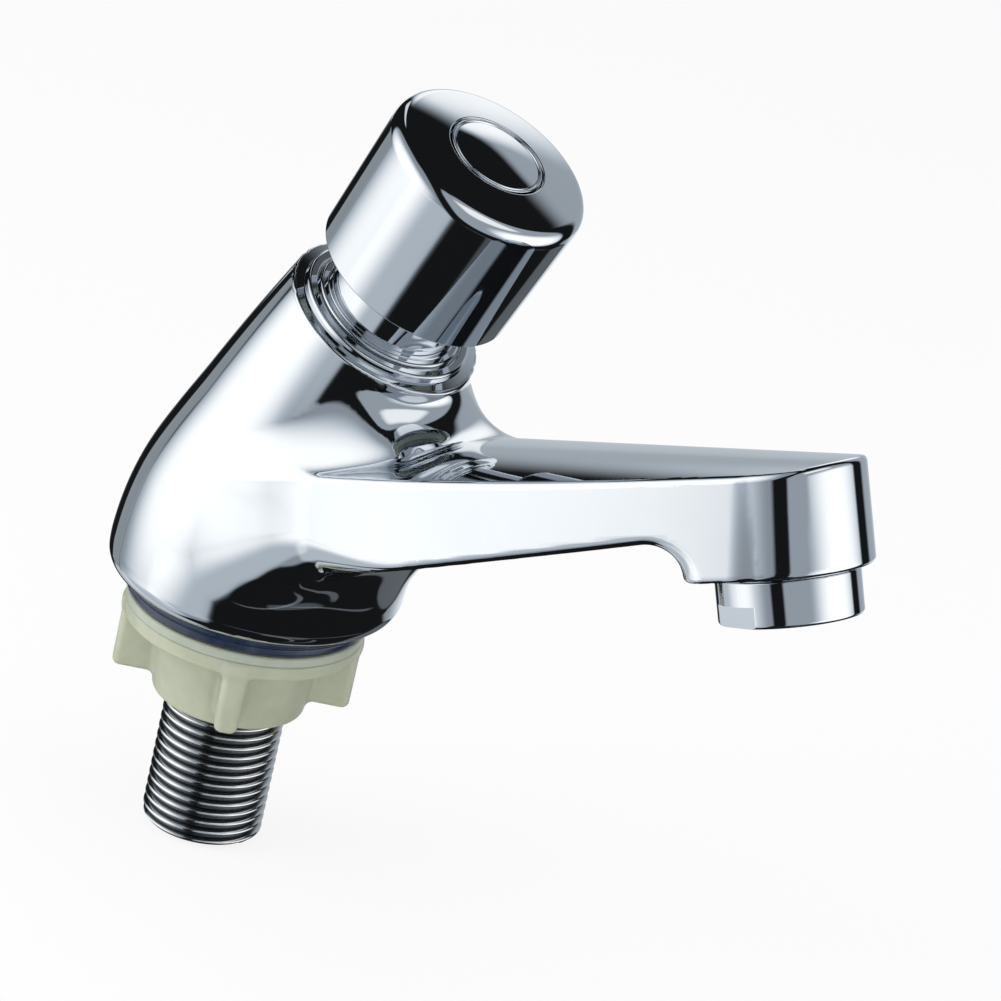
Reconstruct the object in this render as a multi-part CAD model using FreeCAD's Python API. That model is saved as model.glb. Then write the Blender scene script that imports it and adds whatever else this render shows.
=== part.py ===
import FreeCAD, Part
import math
import os

from FreeCAD import Placement, Rotation, Vector

# Self-closing push-button basin tap, cast body, one cold inlet. Millimetres.
# The origin is the middle of the deck seat, under the base gasket.
# +Z runs up the inlet shank, +X points along the spout, and y = 0 is the plane of symmetry.

# Driving angle: the cartridge leans forward from the vertical by LEAN,
# the spout rises from the horizontal by LEAN, and the outlet is square to the spout.
LEAN = 24.0

# Clearances
FIXED_FIT = 0.05
RUNNING_FIT = 0.08
LOOSE_FIT = 0.3

# Cutters run PAST a face, and the pieces of one solid overlap by MERGE
PAST = 1.0
MERGE = 0.1

# Base gasket and inlet shank, thread G1/2
GASKET_RADIUS = 20.8
GASKET_THICKNESS = 2.8
GASKET_ROUND = 1.0
THREAD_RADIUS = 10.4775
THREAD_PITCH = 1.814
THREAD_DEPTH = 1.162
THREAD_CREST = 0.30
THREAD_OVERCUT = 0.25
SHANK_DEPTH = 42.0
SHANK_BORE_RADIUS = 6.75
SHANK_CHAMFER = 0.8
SHANK_INSERT = 9.5

# Slip washer and wing nut under the deck
NUT_RADIUS = 20.6
NUT_CLEARANCE = 0.12
SLIP_WASHER_TOP = -0.4
SLIP_WASHER_THICKNESS = 1.6
NUT_FLANGE_THICKNESS = 2.8
NUT_HUB_RADIUS = 14.4
NUT_HUB_END_RADIUS = 13.2
NUT_HEIGHT = 15.8
NUT_WING_LIFT = 2.2
NUT_WING_COUNT = 4
NUT_WING_RADIUS = 20.6
NUT_WING_THICKNESS = 3.4
NUT_WING_TURN = -47.5
NUT_WING_ROUND = 1.6
NUT_LEAD_IN = 1.0
NUT_EDGE_ROUND = 1.2

# Inlet filter, a perforated disc held between the shank's top and the body
FILTER_THICKNESS = 1.0
FILTER_HOLE_RADIUS = 0.6
FILTER_HOLE_SPACING = 1.8

# Cast body: circles along a centre line that rises from the base and bends to the neck
NECK_X = 16.05
NECK_Z = 59.5
NECK_RADIUS = 16.9
BASE_RADIUS = 24.4
BELLY_RADIUS = 25.3
WAIST_RADIUS = 24.5
SHOULDER_RADIUS = 20.6
BASE_STRAIGHT = 2.0
NECK_STRAIGHT = 37.0
BASE_ROUND = 4.0
NECK_JOIN_ROUND = 4.2
UNDER_JOIN_ROUND = 10.0

# Spout, in its own frame: u along it, y across it, n square to it.
# u = 0 and n = 0 is the middle of the outlet's lower rim.
OUTLET_X = 106.6
OUTLET_Z = 47.0
SPOUT_ROOT = -94.0
SPOUT_WIDE = 40.0
SPOUT_SPARE = 10.0
SPOUT_MIDDLE = -42.0
SPOUT_ROOT_HALF = 19.5
SPOUT_MIDDLE_HALF = 19.2
SPOUT_CORNER_HALF = 11.2
SPOUT_CORNER = 8.2
SPOUT_NOSE = 13.4
SPOUT_FLARE = 1.0
SPOUT_NOSE_RAKE = 1.4
SPOUT_EDGE_HEIGHT = 23.2
SPOUT_CROWN_RADIUS = 60.0
SPOUT_CREST = 24.4
SPOUT_CREST_DROOP = 2.5
SPOUT_UNDER_FRONT = 13.6
SPOUT_UNDER_RISE = 0.083
HEAD_BOTTOM = 7.5
HEAD_REAR = -14.2
HEAD_HALF = 13.4
HEAD_REAR_ROUND = 9.0
HEAD_HOLLOW_ROUND = 5.9
HEAD_CORNER_ROUND = 2.5
SPOUT_UNDER_ROUND = 2.2

# Water ways in the body
WATER_WAY_RADIUS = 2.6
WATER_WAY_BEND = -48.0
WATER_WAY_HEIGHT = 18.6
INLET_CHAMBER_RADIUS = 8.6
INLET_CHAMBER_SPARE = 0.55

# Cartridge, along its own axis: h = 0 is the rim of the neck, + is towards the button
CHAMBER_RADIUS = 11.8
CHAMBER_LEDGE = -34.0
CARTRIDGE_GASKET_THICKNESS = 1.0
SLEEVE_TOP = -7.0
SLEEVE_WALL = 2.1
SLEEVE_FLOOR_THICKNESS = 2.5
SEAT_NOSE_DROP = 2.0
SEAT_RADIUS = 4.6
SEAT_LIP = 0.5
SEAT_LIP_WIDTH = 0.6
SEAT_LIP_SPREAD = 1.0
OUTLET_ROOM_HEIGHT = 6.5
SLEEVE_NECK_WALL = 0.9
DIVIDER_THICKNESS = 3.0
WINDOW_COUNT = 4
WINDOW_WIDTH = 7.0
WINDOW_HEIGHT = 5.0

# Push rod, valve and piston
PRESS_TRAVEL = 6.0
SPINDLE_RADIUS = 3.0
ROD_RADIUS = 2.2
STUD_RADIUS = 1.7
STUD_END = 0.6
SPINDLE_TOP = 29.8
VALVE_GAP = 0.05
VALVE_RADIUS = 7.0
VALVE_WASHER_THICKNESS = 2.0
VALVE_CUP_WALL = 0.7
VALVE_DISC_THICKNESS = 2.4
VALVE_NUT_FLATS = 5.5
VALVE_NUT_HEIGHT = 2.2
PISTON_THICKNESS = 3.6
PISTON_GAP = 0.4
PISTON_SEAL_HEIGHT = 1.6
PISTON_SEAL_DEPTH = 1.5
PISTON_SEAL_TAPER = 0.3
PISTON_SEAL_LIP = 0.7
PISTON_SEAL_HEEL = 0.5
BLEED_RADIUS = 0.5
BLEED_OFFSET = 4.7
BLEED_PIN_RADIUS = 0.35
BLEED_PIN_END = 0.5
BLEED_HEAD_LIP = 0.3
BLEED_HEAD_THICKNESS = 0.4
CIRCLIP_THICKNESS = 0.8
CIRCLIP_GROOVE_RADIUS = 1.8
CIRCLIP_RADIUS = 3.6
SPRING_WIRE_RADIUS = 0.45
SPRING_COIL_RADIUS = 6.4
SPRING_TURNS = 4
SPRING_END_GAP = 0.2
O_RING_SECTION = 0.9

# Bonnet that screws into the neck, its trim ring and gland
TRIM_RING_RADIUS = 15.9
TRIM_RING_HEIGHT = 1.7
TRIM_RING_ROUND = 0.75
BONNET_STEP_RADIUS = 14.4
BONNET_STEP_HEIGHT = 1.5
BONNET_STEP_ROUND = 0.65
BONNET_SLEEVE_RADIUS = 11.5
BONNET_SLEEVE_TOP = 17.0
BONNET_SLEEVE_WALL = 2.2
BONNET_FLOOR_TOP = 0.5
BONNET_SEAL_DEPTH = 1.4
GLAND_FLATS = 12.0
GLAND_HEIGHT = 3.5
GLAND_PLUG_DEPTH = 3.2
GLAND_PLUG_RADIUS = 5.0
SPINDLE_SEAL_HEIGHT = 1.8

# Button cap, its guide bush, screw and index disc
CAP_BOTTOM = 10.5
CAP_TOP = 37.5
CAP_BOTTOM_RADIUS = 16.8
CAP_TOP_RADIUS = 17.4
CAP_RIM_ROUND = 2.6
CAP_DOME_RISE = 1.9
CAP_WALL = 1.8
CAP_CROWN_UNDER = 32.6
CAP_BOSS_RADIUS = 5.4
CAP_BOSS_BOTTOM = 12.0
CAP_WEB_THICKNESS = 2.2
BUSH_HEIGHT = 4.0
BUSH_BOTTOM = 11.5
DISC_RADIUS = 8.1
DISC_POCKET_DEPTH = 2.6
DISC_THICKNESS = 2.2
DISC_DOME_RISE = 0.9
SCREW_RADIUS = 1.95
SCREW_HEAD_RADIUS = 3.5
SCREW_HEAD_HEIGHT = 1.6
SCREW_LENGTH = 9.0
SCREW_SOCKET_FLATS = 2.5
SCREW_SOCKET_FLOOR = 0.5

# Aerator, along n in the spout's frame
AERATOR_RADIUS = 11.25
AERATOR_RIM_ROUND = 0.6
AERATOR_SKIRT_GAP = 0.3
AERATOR_THREAD_RADIUS = 10.3
AERATOR_THREAD_LENGTH = 5.4
AERATOR_BORE_RADIUS = 8.9
AERATOR_LIP_RADIUS = 7.6
AERATOR_LIP_HEIGHT = 1.4
AERATOR_FLAT_DISTANCE = 10.3
AERATOR_FLAT_HEIGHT = 3.4
AERATOR_FLAT_TURN = -105.0
AERATOR_WASHER_THICKNESS = 1.6
AERATOR_WASHER_BORE = 7.2
STRAIGHTENER_HEIGHT = 4.6
STRAIGHTENER_HOLE_RADIUS = 1.0
STRAIGHTENER_HOLE_SPACING = 2.7
SCREEN_THICKNESS = 0.4
SCREEN_COUNT = 2
SCREEN_GAP = 0.7
SCREEN_HOLE_RADIUS = 0.55
SCREEN_HOLE_SPACING = 1.7
JET_PLATE_THICKNESS = 1.8
JET_HOLE_RADIUS = 0.8
JET_HOLE_COUNT = 12
JET_RING_RADIUS = 5.2
NOZZLE_ROOM_RADIUS = 6.8
NOZZLE_ROOM_SPARE = 0.4

# Heights that follow from the sizes above
SLEEVE_FLOOR = CHAMBER_LEDGE + CARTRIDGE_GASKET_THICKNESS
SEAT_BOTTOM = SLEEVE_FLOOR - SEAT_NOSE_DROP
OUTLET_ROOM_FLOOR = SLEEVE_FLOOR + SLEEVE_FLOOR_THICKNESS
OUTLET_ROOM_TOP = OUTLET_ROOM_FLOOR + OUTLET_ROOM_HEIGHT
TIMING_FLOOR = OUTLET_ROOM_TOP + DIVIDER_THICKNESS
TIMING_RADIUS = CHAMBER_RADIUS - FIXED_FIT - SLEEVE_WALL
ROD_SEAL_HEIGHT = OUTLET_ROOM_TOP + DIVIDER_THICKNESS / 2
ROD_SEAL_OUTER = ROD_RADIUS + RUNNING_FIT + 2 * O_RING_SECTION
PISTON_TOP = SLEEVE_TOP - PISTON_GAP
CIRCLIP_BOTTOM = PISTON_TOP - PISTON_THICKNESS - CIRCLIP_THICKNESS
VALVE_SHOULDER = SEAT_BOTTOM - VALVE_GAP
VALVE_WASHER_BOTTOM = VALVE_SHOULDER - VALVE_WASHER_THICKNESS
VALVE_DISC_BOTTOM = VALVE_WASHER_BOTTOM - VALVE_DISC_THICKNESS
VALVE_NUT_BOTTOM = VALVE_DISC_BOTTOM - VALVE_NUT_HEIGHT
INLET_CHAMBER_END = VALVE_DISC_BOTTOM - PRESS_TRAVEL - INLET_CHAMBER_SPARE
BONNET_SEAL_HEIGHT = -2.0 * O_RING_SECTION
SCREW_SEAT = SPINDLE_TOP + CAP_WEB_THICKNESS
SCREW_BOTTOM = SCREW_SEAT - SCREW_LENGTH
AERATOR_TOP = HEAD_BOTTOM + AERATOR_THREAD_LENGTH
SOCKET_TOP = AERATOR_TOP + AERATOR_WASHER_THICKNESS
NOZZLE_ROOM_TOP = WATER_WAY_HEIGHT + WATER_WAY_RADIUS + NOZZLE_ROOM_SPARE
STRAIGHTENER_TOP = AERATOR_LIP_HEIGHT + STRAIGHTENER_HEIGHT
JET_PLATE_BOTTOM = STRAIGHTENER_TOP + SCREEN_COUNT * (SCREEN_THICKNESS + SCREEN_GAP)

UP = Vector(0, 0, 1)
ACROSS = Vector(0, 1, 0)

CARTRIDGE_FRAME = Placement(Vector(NECK_X, 0, NECK_Z), Rotation(ACROSS, LEAN))
SPOUT_FRAME = Placement(Vector(OUTLET_X, 0, OUTLET_Z), Rotation(ACROSS, -LEAN))
WORLD_FRAME = Placement()

nodes = {}


def placed(shape, frame):
    """Copy of a shape in another frame."""
    copy = shape.copy()
    copy.Placement = frame.multiply(copy.Placement)
    return copy


def keep(name, shape, frame=WORLD_FRAME):
    """Place a finished shape and store it under its node name."""
    nodes[name] = placed(shape, frame)


def rod(radius, bottom, top, x=0.0, y=0.0):
    """Solid cylinder along Z between two heights."""
    return Part.makeCylinder(radius, top - bottom, Vector(x, y, bottom))


def tube(outer, inner, bottom, top):
    """Round tube along Z between two heights."""
    return rod(outer, bottom, top).cut(rod(inner, bottom - PAST, top + PAST))


def cone(bottom_radius, top_radius, bottom, top):
    """Cone frustum along Z between two heights."""
    return Part.makeCone(bottom_radius, top_radius, top - bottom, Vector(0, 0, bottom))


def hexagon(flats, bottom, top):
    """Hexagonal prism along Z, sized across its flats."""
    radius = flats / math.sqrt(3)
    turns = [math.radians(60 * i) for i in range(7)]
    points = [Vector(radius * math.cos(a), radius * math.sin(a), bottom) for a in turns]
    return Part.Face(Part.makePolygon(points)).extrude(UP * (top - bottom))


def ring_of(piece, count, start=0.0):
    """A shape repeated round the Z axis."""
    copies = []
    for i in range(count):
        turned = piece.copy()
        turned.rotate(Vector(), UP, start + 360.0 * i / count)
        copies.append(turned)
    return copies


def o_ring(middle_radius, section, height):
    """Round-section seal ring round the Z axis."""
    return Part.makeTorus(middle_radius, section, Vector(0, 0, height))


def hex_grid(spacing, limit):
    """Centres of a close-packed grid that lie inside a radius."""
    reach = int(limit / spacing) + 1
    centres = []
    for row in range(-reach, reach + 1):
        for column in range(-reach, reach + 1):
            x = spacing * (column + 0.5 * (row % 2))
            y = spacing * row * math.sqrt(3) / 2
            if math.hypot(x, y) <= limit:
                centres.append((x, y))
    return centres


def helix_path(radius, pitch, start, turns):
    """One wire of single helix turns, stacked."""
    edges = []
    for i in range(turns):
        turn = Part.makeHelix(pitch, pitch, radius)
        turn.translate(UP * (start + i * pitch))
        edges += turn.Edges
    return Part.Wire(edges)


def outline(points):
    """Closed face in the XZ plane from (x, z) corners."""
    corners = [Vector(x, 0, z) for x, z in points]
    return Part.Face(Part.makePolygon(corners + corners[:1]))


def turned(points):
    """Solid of revolution about Z from (radius, height) corners."""
    return outline(points).revolve(Vector(), UP, 360)


# Body

def body_section(share, radius):
    """Circle square to the body's cubic centre line, with its seam at the back."""
    start = Vector(0, 0, GASKET_THICKNESS)
    end = Vector(NECK_X, 0, NECK_Z)
    first = start + UP * BASE_STRAIGHT
    second = end - CARTRIDGE_FRAME.Rotation.multVec(UP) * NECK_STRAIGHT
    rest = 1 - share
    ends = start * rest ** 3 + end * share ** 3
    centre = ends + first * (3 * rest ** 2 * share) + second * (3 * rest * share ** 2)
    ahead = (first - start) * rest ** 2 + (second - first) * (2 * rest * share) + (end - second) * share ** 2
    tilt = math.degrees(math.atan2(ahead.x, ahead.z))
    circle = Part.makeCircle(radius)
    circle.Placement = Placement(centre, Rotation(ACROSS, tilt).multiply(Rotation(UP, 180)))
    return Part.Wire(circle)


def body_bulb():
    """The pear-shaped column from the base to the neck."""
    radii = [BASE_RADIUS, BELLY_RADIUS, WAIST_RADIUS, SHOULDER_RADIUS, NECK_RADIUS]
    last = len(radii) - 1
    sections = [body_section(i / last, radius) for i, radius in enumerate(radii)]
    bulb = Part.makeLoft(sections, True)
    base_edges = [e for e in bulb.Edges if e.BoundBox.ZMax < GASKET_THICKNESS + 0.1]
    return bulb.makeFillet(BASE_ROUND, base_edges)


def spout_plan(height, corner_half, corner, nose):
    """Plan outline of the spout at one height n."""
    def at(u, y):
        return Vector(u, y, height)
    widen = corner_half - SPOUT_CORNER_HALF
    root_half = SPOUT_ROOT_HALF + widen
    middle_half = SPOUT_MIDDLE_HALF + widen
    right = Part.Arc(at(SPOUT_ROOT, -root_half), at(SPOUT_MIDDLE, -middle_half),
                     at(corner, -corner_half)).toShape()
    nose_arc = Part.Arc(at(corner, -corner_half), at(nose, 0), at(corner, corner_half)).toShape()
    left = Part.Arc(at(corner, corner_half), at(SPOUT_MIDDLE, middle_half),
                    at(SPOUT_ROOT, root_half)).toShape()
    back = Part.LineSegment(at(SPOUT_ROOT, root_half), at(SPOUT_ROOT, -root_half)).toShape()
    return Part.Wire([right, nose_arc, left, back])


def spout_block():
    """The spout and its head, in the spout's frame."""
    above = SPOUT_CREST + SPOUT_SPARE
    slope = 1.0 / (SPOUT_EDGE_HEIGHT - HEAD_BOTTOM)
    spare_up = (above - SPOUT_EDGE_HEIGHT) * slope
    top = spout_plan(above, SPOUT_CORNER_HALF - SPOUT_FLARE * spare_up,
                     SPOUT_CORNER + SPOUT_NOSE_RAKE * spare_up, SPOUT_NOSE)
    spare_down = HEAD_BOTTOM * slope
    low = spout_plan(0.0, SPOUT_CORNER_HALF + SPOUT_FLARE * (1 + spare_down),
                     SPOUT_CORNER - SPOUT_NOSE_RAKE * (1 + spare_down), SPOUT_NOSE)
    plan = Part.makeLoft([low, top], True, True)
    corner_edges = []
    for edge in plan.Edges:
        box = edge.BoundBox
        if box.ZLength > above * 0.9 and box.XMin > 0:
            corner_edges.append(edge)
    plan = plan.makeFillet(HEAD_CORNER_ROUND, corner_edges)

    far = SPOUT_NOSE + SPOUT_SPARE
    under_far = SPOUT_UNDER_FRONT + (far - HEAD_REAR) * SPOUT_UNDER_RISE
    under_root = SPOUT_UNDER_FRONT - (HEAD_REAR - SPOUT_ROOT) * SPOUT_UNDER_RISE
    side = outline([(SPOUT_ROOT, under_root), (far, under_far), (far, above), (SPOUT_ROOT, above)])
    upper = side.extrude(ACROSS * 2 * SPOUT_WIDE)
    upper.translate(ACROSS * -SPOUT_WIDE)
    head = Part.makeBox(far - HEAD_REAR, 2 * HEAD_HALF, above - HEAD_BOTTOM,
                        Vector(HEAD_REAR, -HEAD_HALF, HEAD_BOTTOM))
    rear = [e for e in head.Edges if e.BoundBox.XMax < HEAD_REAR + 0.1 and e.BoundBox.YLength < 0.1]
    head = head.makeFillet(HEAD_REAR_ROUND, rear)
    side_block = upper.fuse(head)
    inner = [e for e in side_block.Edges
             if e.BoundBox.ZMin > HEAD_BOTTOM + 1 and e.BoundBox.ZMax < under_far + 0.1
             and HEAD_REAR - 0.1 < e.BoundBox.XMin < 0 and abs(e.CenterOfMass.y) < HEAD_HALF + 0.1]
    side_block = side_block.makeFillet(HEAD_HOLLOW_ROUND, inner)

    reach = SPOUT_CORNER - SPOUT_ROOT
    crown = Part.makeCylinder(SPOUT_CROWN_RADIUS, 2 * reach, Vector(-1.5 * reach, 0, 0), Vector(1, 0, 0))
    crown.rotate(Vector(), Vector(1, 0, 0), 90)
    crown.rotate(Vector(), ACROSS, SPOUT_CREST_DROOP)
    crown.translate(Vector(SPOUT_CORNER, 0, SPOUT_CREST - SPOUT_CROWN_RADIUS))
    block = plan.common(side_block).common(crown)
    under_edges = []
    for edge in block.Edges:
        box = edge.BoundBox
        if box.YLength < SPOUT_ROOT_HALF < box.XLength and box.ZMax < SPOUT_UNDER_FRONT + 1:
            under_edges.append(edge)
    return block.makeFillet(SPOUT_UNDER_ROUND, under_edges)


def water_way(points, radius):
    """Drilled passage through a run of points, with round bends."""
    legs = []
    for start, end in zip(points, points[1:]):
        legs.append(Part.makeCylinder(radius, (end - start).Length, start, end - start))
        legs.append(Part.makeSphere(radius, end))
    return legs[0].multiFuse(legs[1:])


def body_hollows():
    """Everything that is bored out of the casting, in the body's frame."""
    bore_top = TRIM_RING_HEIGHT + PAST
    cartridge = rod(CHAMBER_RADIUS, CHAMBER_LEDGE, bore_top)
    inlet = rod(INLET_CHAMBER_RADIUS, INLET_CHAMBER_END, CHAMBER_LEDGE + PAST)
    seal_groove = cone(CHAMBER_RADIUS, CHAMBER_RADIUS + O_RING_SECTION, -O_RING_SECTION, 0)
    tilted = cartridge.multiFuse([inlet, seal_groove])
    socket = rod(THREAD_RADIUS + FIXED_FIT, 0, GASKET_THICKNESS + SHANK_INSERT + FILTER_THICKNESS)
    supply_top = CARTRIDGE_FRAME.multVec(Vector(0, 0, INLET_CHAMBER_END)).z + 2 * PAST
    supply = rod(SHANK_BORE_RADIUS, 0, supply_top)

    nozzle = rod(AERATOR_THREAD_RADIUS + FIXED_FIT, HEAD_BOTTOM - PAST, SOCKET_TOP)
    room = rod(NOZZLE_ROOM_RADIUS, SOCKET_TOP - PAST, NOZZLE_ROOM_TOP)
    outlet = placed(nozzle.fuse(room), SPOUT_FRAME)

    room_middle = (OUTLET_ROOM_FLOOR + OUTLET_ROOM_TOP) / 2
    start = CARTRIDGE_FRAME.multVec(Vector(CHAMBER_RADIUS - WATER_WAY_RADIUS, 0, room_middle))
    bend = SPOUT_FRAME.multVec(Vector(WATER_WAY_BEND, 0, WATER_WAY_HEIGHT))
    end = SPOUT_FRAME.multVec(Vector(0, 0, WATER_WAY_HEIGHT))
    passage = water_way([start, bend, end], WATER_WAY_RADIUS)
    return [placed(tilted, CARTRIDGE_FRAME), socket, supply, outlet, passage]


def crossing_edges(shell, low, high):
    """Edges that run across the spout where it meets the column, between two heights n."""
    found = []
    for edge in shell.Edges:
        middle = SPOUT_FRAME.inverse().multVec(edge.CenterOfMass)
        across = edge.BoundBox.YLength > NECK_RADIUS and abs(middle.y) < PAST
        if across and SPOUT_ROOT < middle.x < SPOUT_MIDDLE and low < middle.z < high:
            found.append(edge)
    return found


def body_outside():
    """Column and spout, joined with rounds above and below the spout."""
    shell = body_bulb().fuse(placed(spout_block(), SPOUT_FRAME))
    above = crossing_edges(shell, SPOUT_UNDER_FRONT, SPOUT_CREST + SPOUT_SPARE)
    shell = shell.makeFillet(NECK_JOIN_ROUND, above)
    below = crossing_edges(shell, 0, SPOUT_UNDER_FRONT)
    return shell.makeFillet(UNDER_JOIN_ROUND, below)


def make_body():
    shell = body_outside()
    hollows = body_hollows()
    return shell.cut(hollows[0].multiFuse(hollows[1:]))


# Inlet shank, nut and what sits round them

def thread_groove(crest_radius, start, end):
    """Helical groove of an outside thread between two heights."""
    root_radius = crest_radius - THREAD_DEPTH
    over = THREAD_OVERCUT
    flank = (THREAD_PITCH - 2 * THREAD_CREST) / 2
    spread = over * flank / THREAD_DEPTH
    half_root = THREAD_CREST / 2
    corners = [
        Vector(root_radius, 0, start - half_root),
        Vector(crest_radius + over, 0, start - half_root - flank - spread),
        Vector(crest_radius + over, 0, start + half_root + flank + spread),
        Vector(root_radius, 0, start + half_root),
    ]
    profile = Part.makePolygon(corners + corners[:1])
    turns = math.ceil((end - start) / THREAD_PITCH)
    path = helix_path(root_radius, THREAD_PITCH, start, turns)
    return path.makePipeShell([profile], True, True)


def make_inlet_shank():
    top = GASKET_THICKNESS + SHANK_INSERT
    root_radius = THREAD_RADIUS - THREAD_DEPTH
    shank = rod(THREAD_RADIUS, -SHANK_DEPTH, top)
    groove = thread_groove(THREAD_RADIUS, -SHANK_DEPTH - 2 * THREAD_PITCH, -0.5 * THREAD_PITCH)
    shank = shank.cut(groove)
    keep_tip = cone(THREAD_RADIUS - SHANK_CHAMFER, THREAD_RADIUS, -SHANK_DEPTH, -SHANK_DEPTH + SHANK_CHAMFER)
    keep_rest = rod(THREAD_RADIUS + PAST, -SHANK_DEPTH + SHANK_CHAMFER, top)
    shank = shank.common(keep_tip.fuse(keep_rest))
    return shank.cut(rod(SHANK_BORE_RADIUS, -SHANK_DEPTH - PAST, top + PAST))


def make_base_gasket():
    gasket = tube(GASKET_RADIUS, THREAD_RADIUS + LOOSE_FIT, 0, GASKET_THICKNESS)
    rims = [e for e in gasket.Edges if e.Length > 6 * GASKET_RADIUS]
    return gasket.makeFillet(GASKET_ROUND, rims)


def make_slip_washer():
    bottom = SLIP_WASHER_TOP - SLIP_WASHER_THICKNESS
    return tube(NUT_RADIUS, THREAD_RADIUS + LOOSE_FIT, bottom, SLIP_WASHER_TOP)


def make_wing_nut():
    top = SLIP_WASHER_TOP - SLIP_WASHER_THICKNESS - FIXED_FIT
    flange_bottom = top - NUT_FLANGE_THICKNESS
    bottom = top - NUT_HEIGHT
    flange = rod(NUT_RADIUS, flange_bottom, top)
    hub = cone(NUT_HUB_END_RADIUS, NUT_HUB_RADIUS, bottom, flange_bottom + MERGE)
    end_edge = [e for e in hub.Edges if e.BoundBox.ZMax < bottom + 0.01]
    hub = hub.makeFillet(NUT_EDGE_ROUND, end_edge)
    start = NUT_HUB_END_RADIUS - PAST
    wing_bottom = bottom + NUT_WING_LIFT
    wing = Part.makeBox(NUT_WING_RADIUS - start, NUT_WING_THICKNESS, flange_bottom + MERGE - wing_bottom,
                        Vector(start, -NUT_WING_THICKNESS / 2, wing_bottom))
    tip_edges = [e for e in wing.Edges if e.BoundBox.XMin > NUT_WING_RADIUS - 0.01
                 and e.BoundBox.ZMax < wing_bottom + 0.01]
    wing = wing.makeFillet(NUT_WING_ROUND, tip_edges)
    nut = flange.multiFuse([hub] + ring_of(wing, NUT_WING_COUNT, NUT_WING_TURN))
    bore_radius = THREAD_RADIUS + NUT_CLEARANCE
    lead = cone(bore_radius + NUT_LEAD_IN, bore_radius, bottom, bottom + NUT_LEAD_IN)
    return nut.removeSplitter().cut(rod(bore_radius, bottom - PAST, top + PAST).fuse(lead))


def make_inlet_filter():
    bottom = GASKET_THICKNESS + SHANK_INSERT
    disc = rod(THREAD_RADIUS, bottom, bottom + FILTER_THICKNESS)
    limit = SHANK_BORE_RADIUS - FILTER_HOLE_RADIUS
    holes = [rod(FILTER_HOLE_RADIUS, bottom - PAST, bottom + FILTER_THICKNESS + PAST, x, y)
             for x, y in hex_grid(FILTER_HOLE_SPACING, limit)]
    return disc.cut(holes[0].multiFuse(holes[1:]))


# Cartridge, along its own axis

def make_cartridge_gasket():
    outer = CHAMBER_RADIUS - FIXED_FIT
    return tube(outer, INLET_CHAMBER_RADIUS + LOOSE_FIT, CHAMBER_LEDGE, SLEEVE_FLOOR)


def make_cartridge_sleeve():
    """Brass sleeve: valve seat, outlet windows, divider and timing cylinder."""
    outer = CHAMBER_RADIUS - FIXED_FIT
    waist = outer - SLEEVE_NECK_WALL
    nose = rod(INLET_CHAMBER_RADIUS - FIXED_FIT, SEAT_BOTTOM + SEAT_LIP, SLEEVE_FLOOR + MERGE)
    lip_radius = SEAT_RADIUS + SEAT_LIP_WIDTH
    lip = cone(lip_radius, lip_radius + SEAT_LIP_SPREAD, SEAT_BOTTOM, SEAT_BOTTOM + SEAT_LIP)
    full = rod(outer, SLEEVE_FLOOR, SLEEVE_TOP)
    channel = tube(outer + PAST, waist, OUTLET_ROOM_FLOOR, OUTLET_ROOM_TOP)
    sleeve = full.cut(channel).multiFuse([nose, lip])
    seat_hole = rod(SEAT_RADIUS, SEAT_BOTTOM - PAST, OUTLET_ROOM_FLOOR + PAST)
    outlet_room = rod(TIMING_RADIUS, OUTLET_ROOM_FLOOR, OUTLET_ROOM_TOP)
    guide = rod(ROD_RADIUS + RUNNING_FIT, OUTLET_ROOM_TOP - PAST, TIMING_FLOOR + PAST)
    groove = rod(ROD_SEAL_OUTER + FIXED_FIT, ROD_SEAL_HEIGHT - O_RING_SECTION,
                 ROD_SEAL_HEIGHT + O_RING_SECTION)
    cylinder = rod(TIMING_RADIUS, TIMING_FLOOR, SLEEVE_TOP + PAST)
    window_bottom = (OUTLET_ROOM_FLOOR + OUTLET_ROOM_TOP - WINDOW_HEIGHT) / 2
    window = Part.makeBox(2 * outer, WINDOW_WIDTH, WINDOW_HEIGHT,
                          Vector(0, -WINDOW_WIDTH / 2, window_bottom))
    cuts = [outlet_room, guide, groove, cylinder] + ring_of(window, WINDOW_COUNT)
    return sleeve.cut(seat_hole.multiFuse(cuts))


def make_rod_seal():
    return o_ring((ROD_SEAL_OUTER + ROD_RADIUS + RUNNING_FIT) / 2, O_RING_SECTION, ROD_SEAL_HEIGHT)


def make_spindle():
    """Push rod from the cap to the valve."""
    upper = rod(SPINDLE_RADIUS, PISTON_TOP, SPINDLE_TOP)
    middle = rod(ROD_RADIUS, VALVE_SHOULDER, PISTON_TOP)
    stud = rod(STUD_RADIUS, VALVE_NUT_BOTTOM - STUD_END, VALVE_SHOULDER)
    spindle = upper.multiFuse([middle, stud])
    tapped = rod(SCREW_RADIUS + FIXED_FIT, SCREW_BOTTOM - PAST, SPINDLE_TOP + PAST)
    clip_groove = tube(SPINDLE_RADIUS, CIRCLIP_GROOVE_RADIUS, CIRCLIP_BOTTOM - FIXED_FIT,
                       CIRCLIP_BOTTOM + CIRCLIP_THICKNESS + FIXED_FIT)
    return spindle.cut(tapped.fuse(clip_groove))


def make_valve_disc():
    """Cup that holds the rubber washer on the end of the push rod."""
    bottom = VALVE_WASHER_BOTTOM - VALVE_DISC_THICKNESS
    rim = VALVE_RADIUS + VALVE_CUP_WALL
    cup = rod(rim, bottom, VALVE_WASHER_BOTTOM + VALVE_WASHER_THICKNESS / 2)
    cup = cup.cut(rod(VALVE_RADIUS + FIXED_FIT, VALVE_WASHER_BOTTOM, VALVE_SHOULDER + PAST))
    return cup.cut(rod(STUD_RADIUS + FIXED_FIT, bottom - PAST, VALVE_SHOULDER + PAST))


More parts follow.
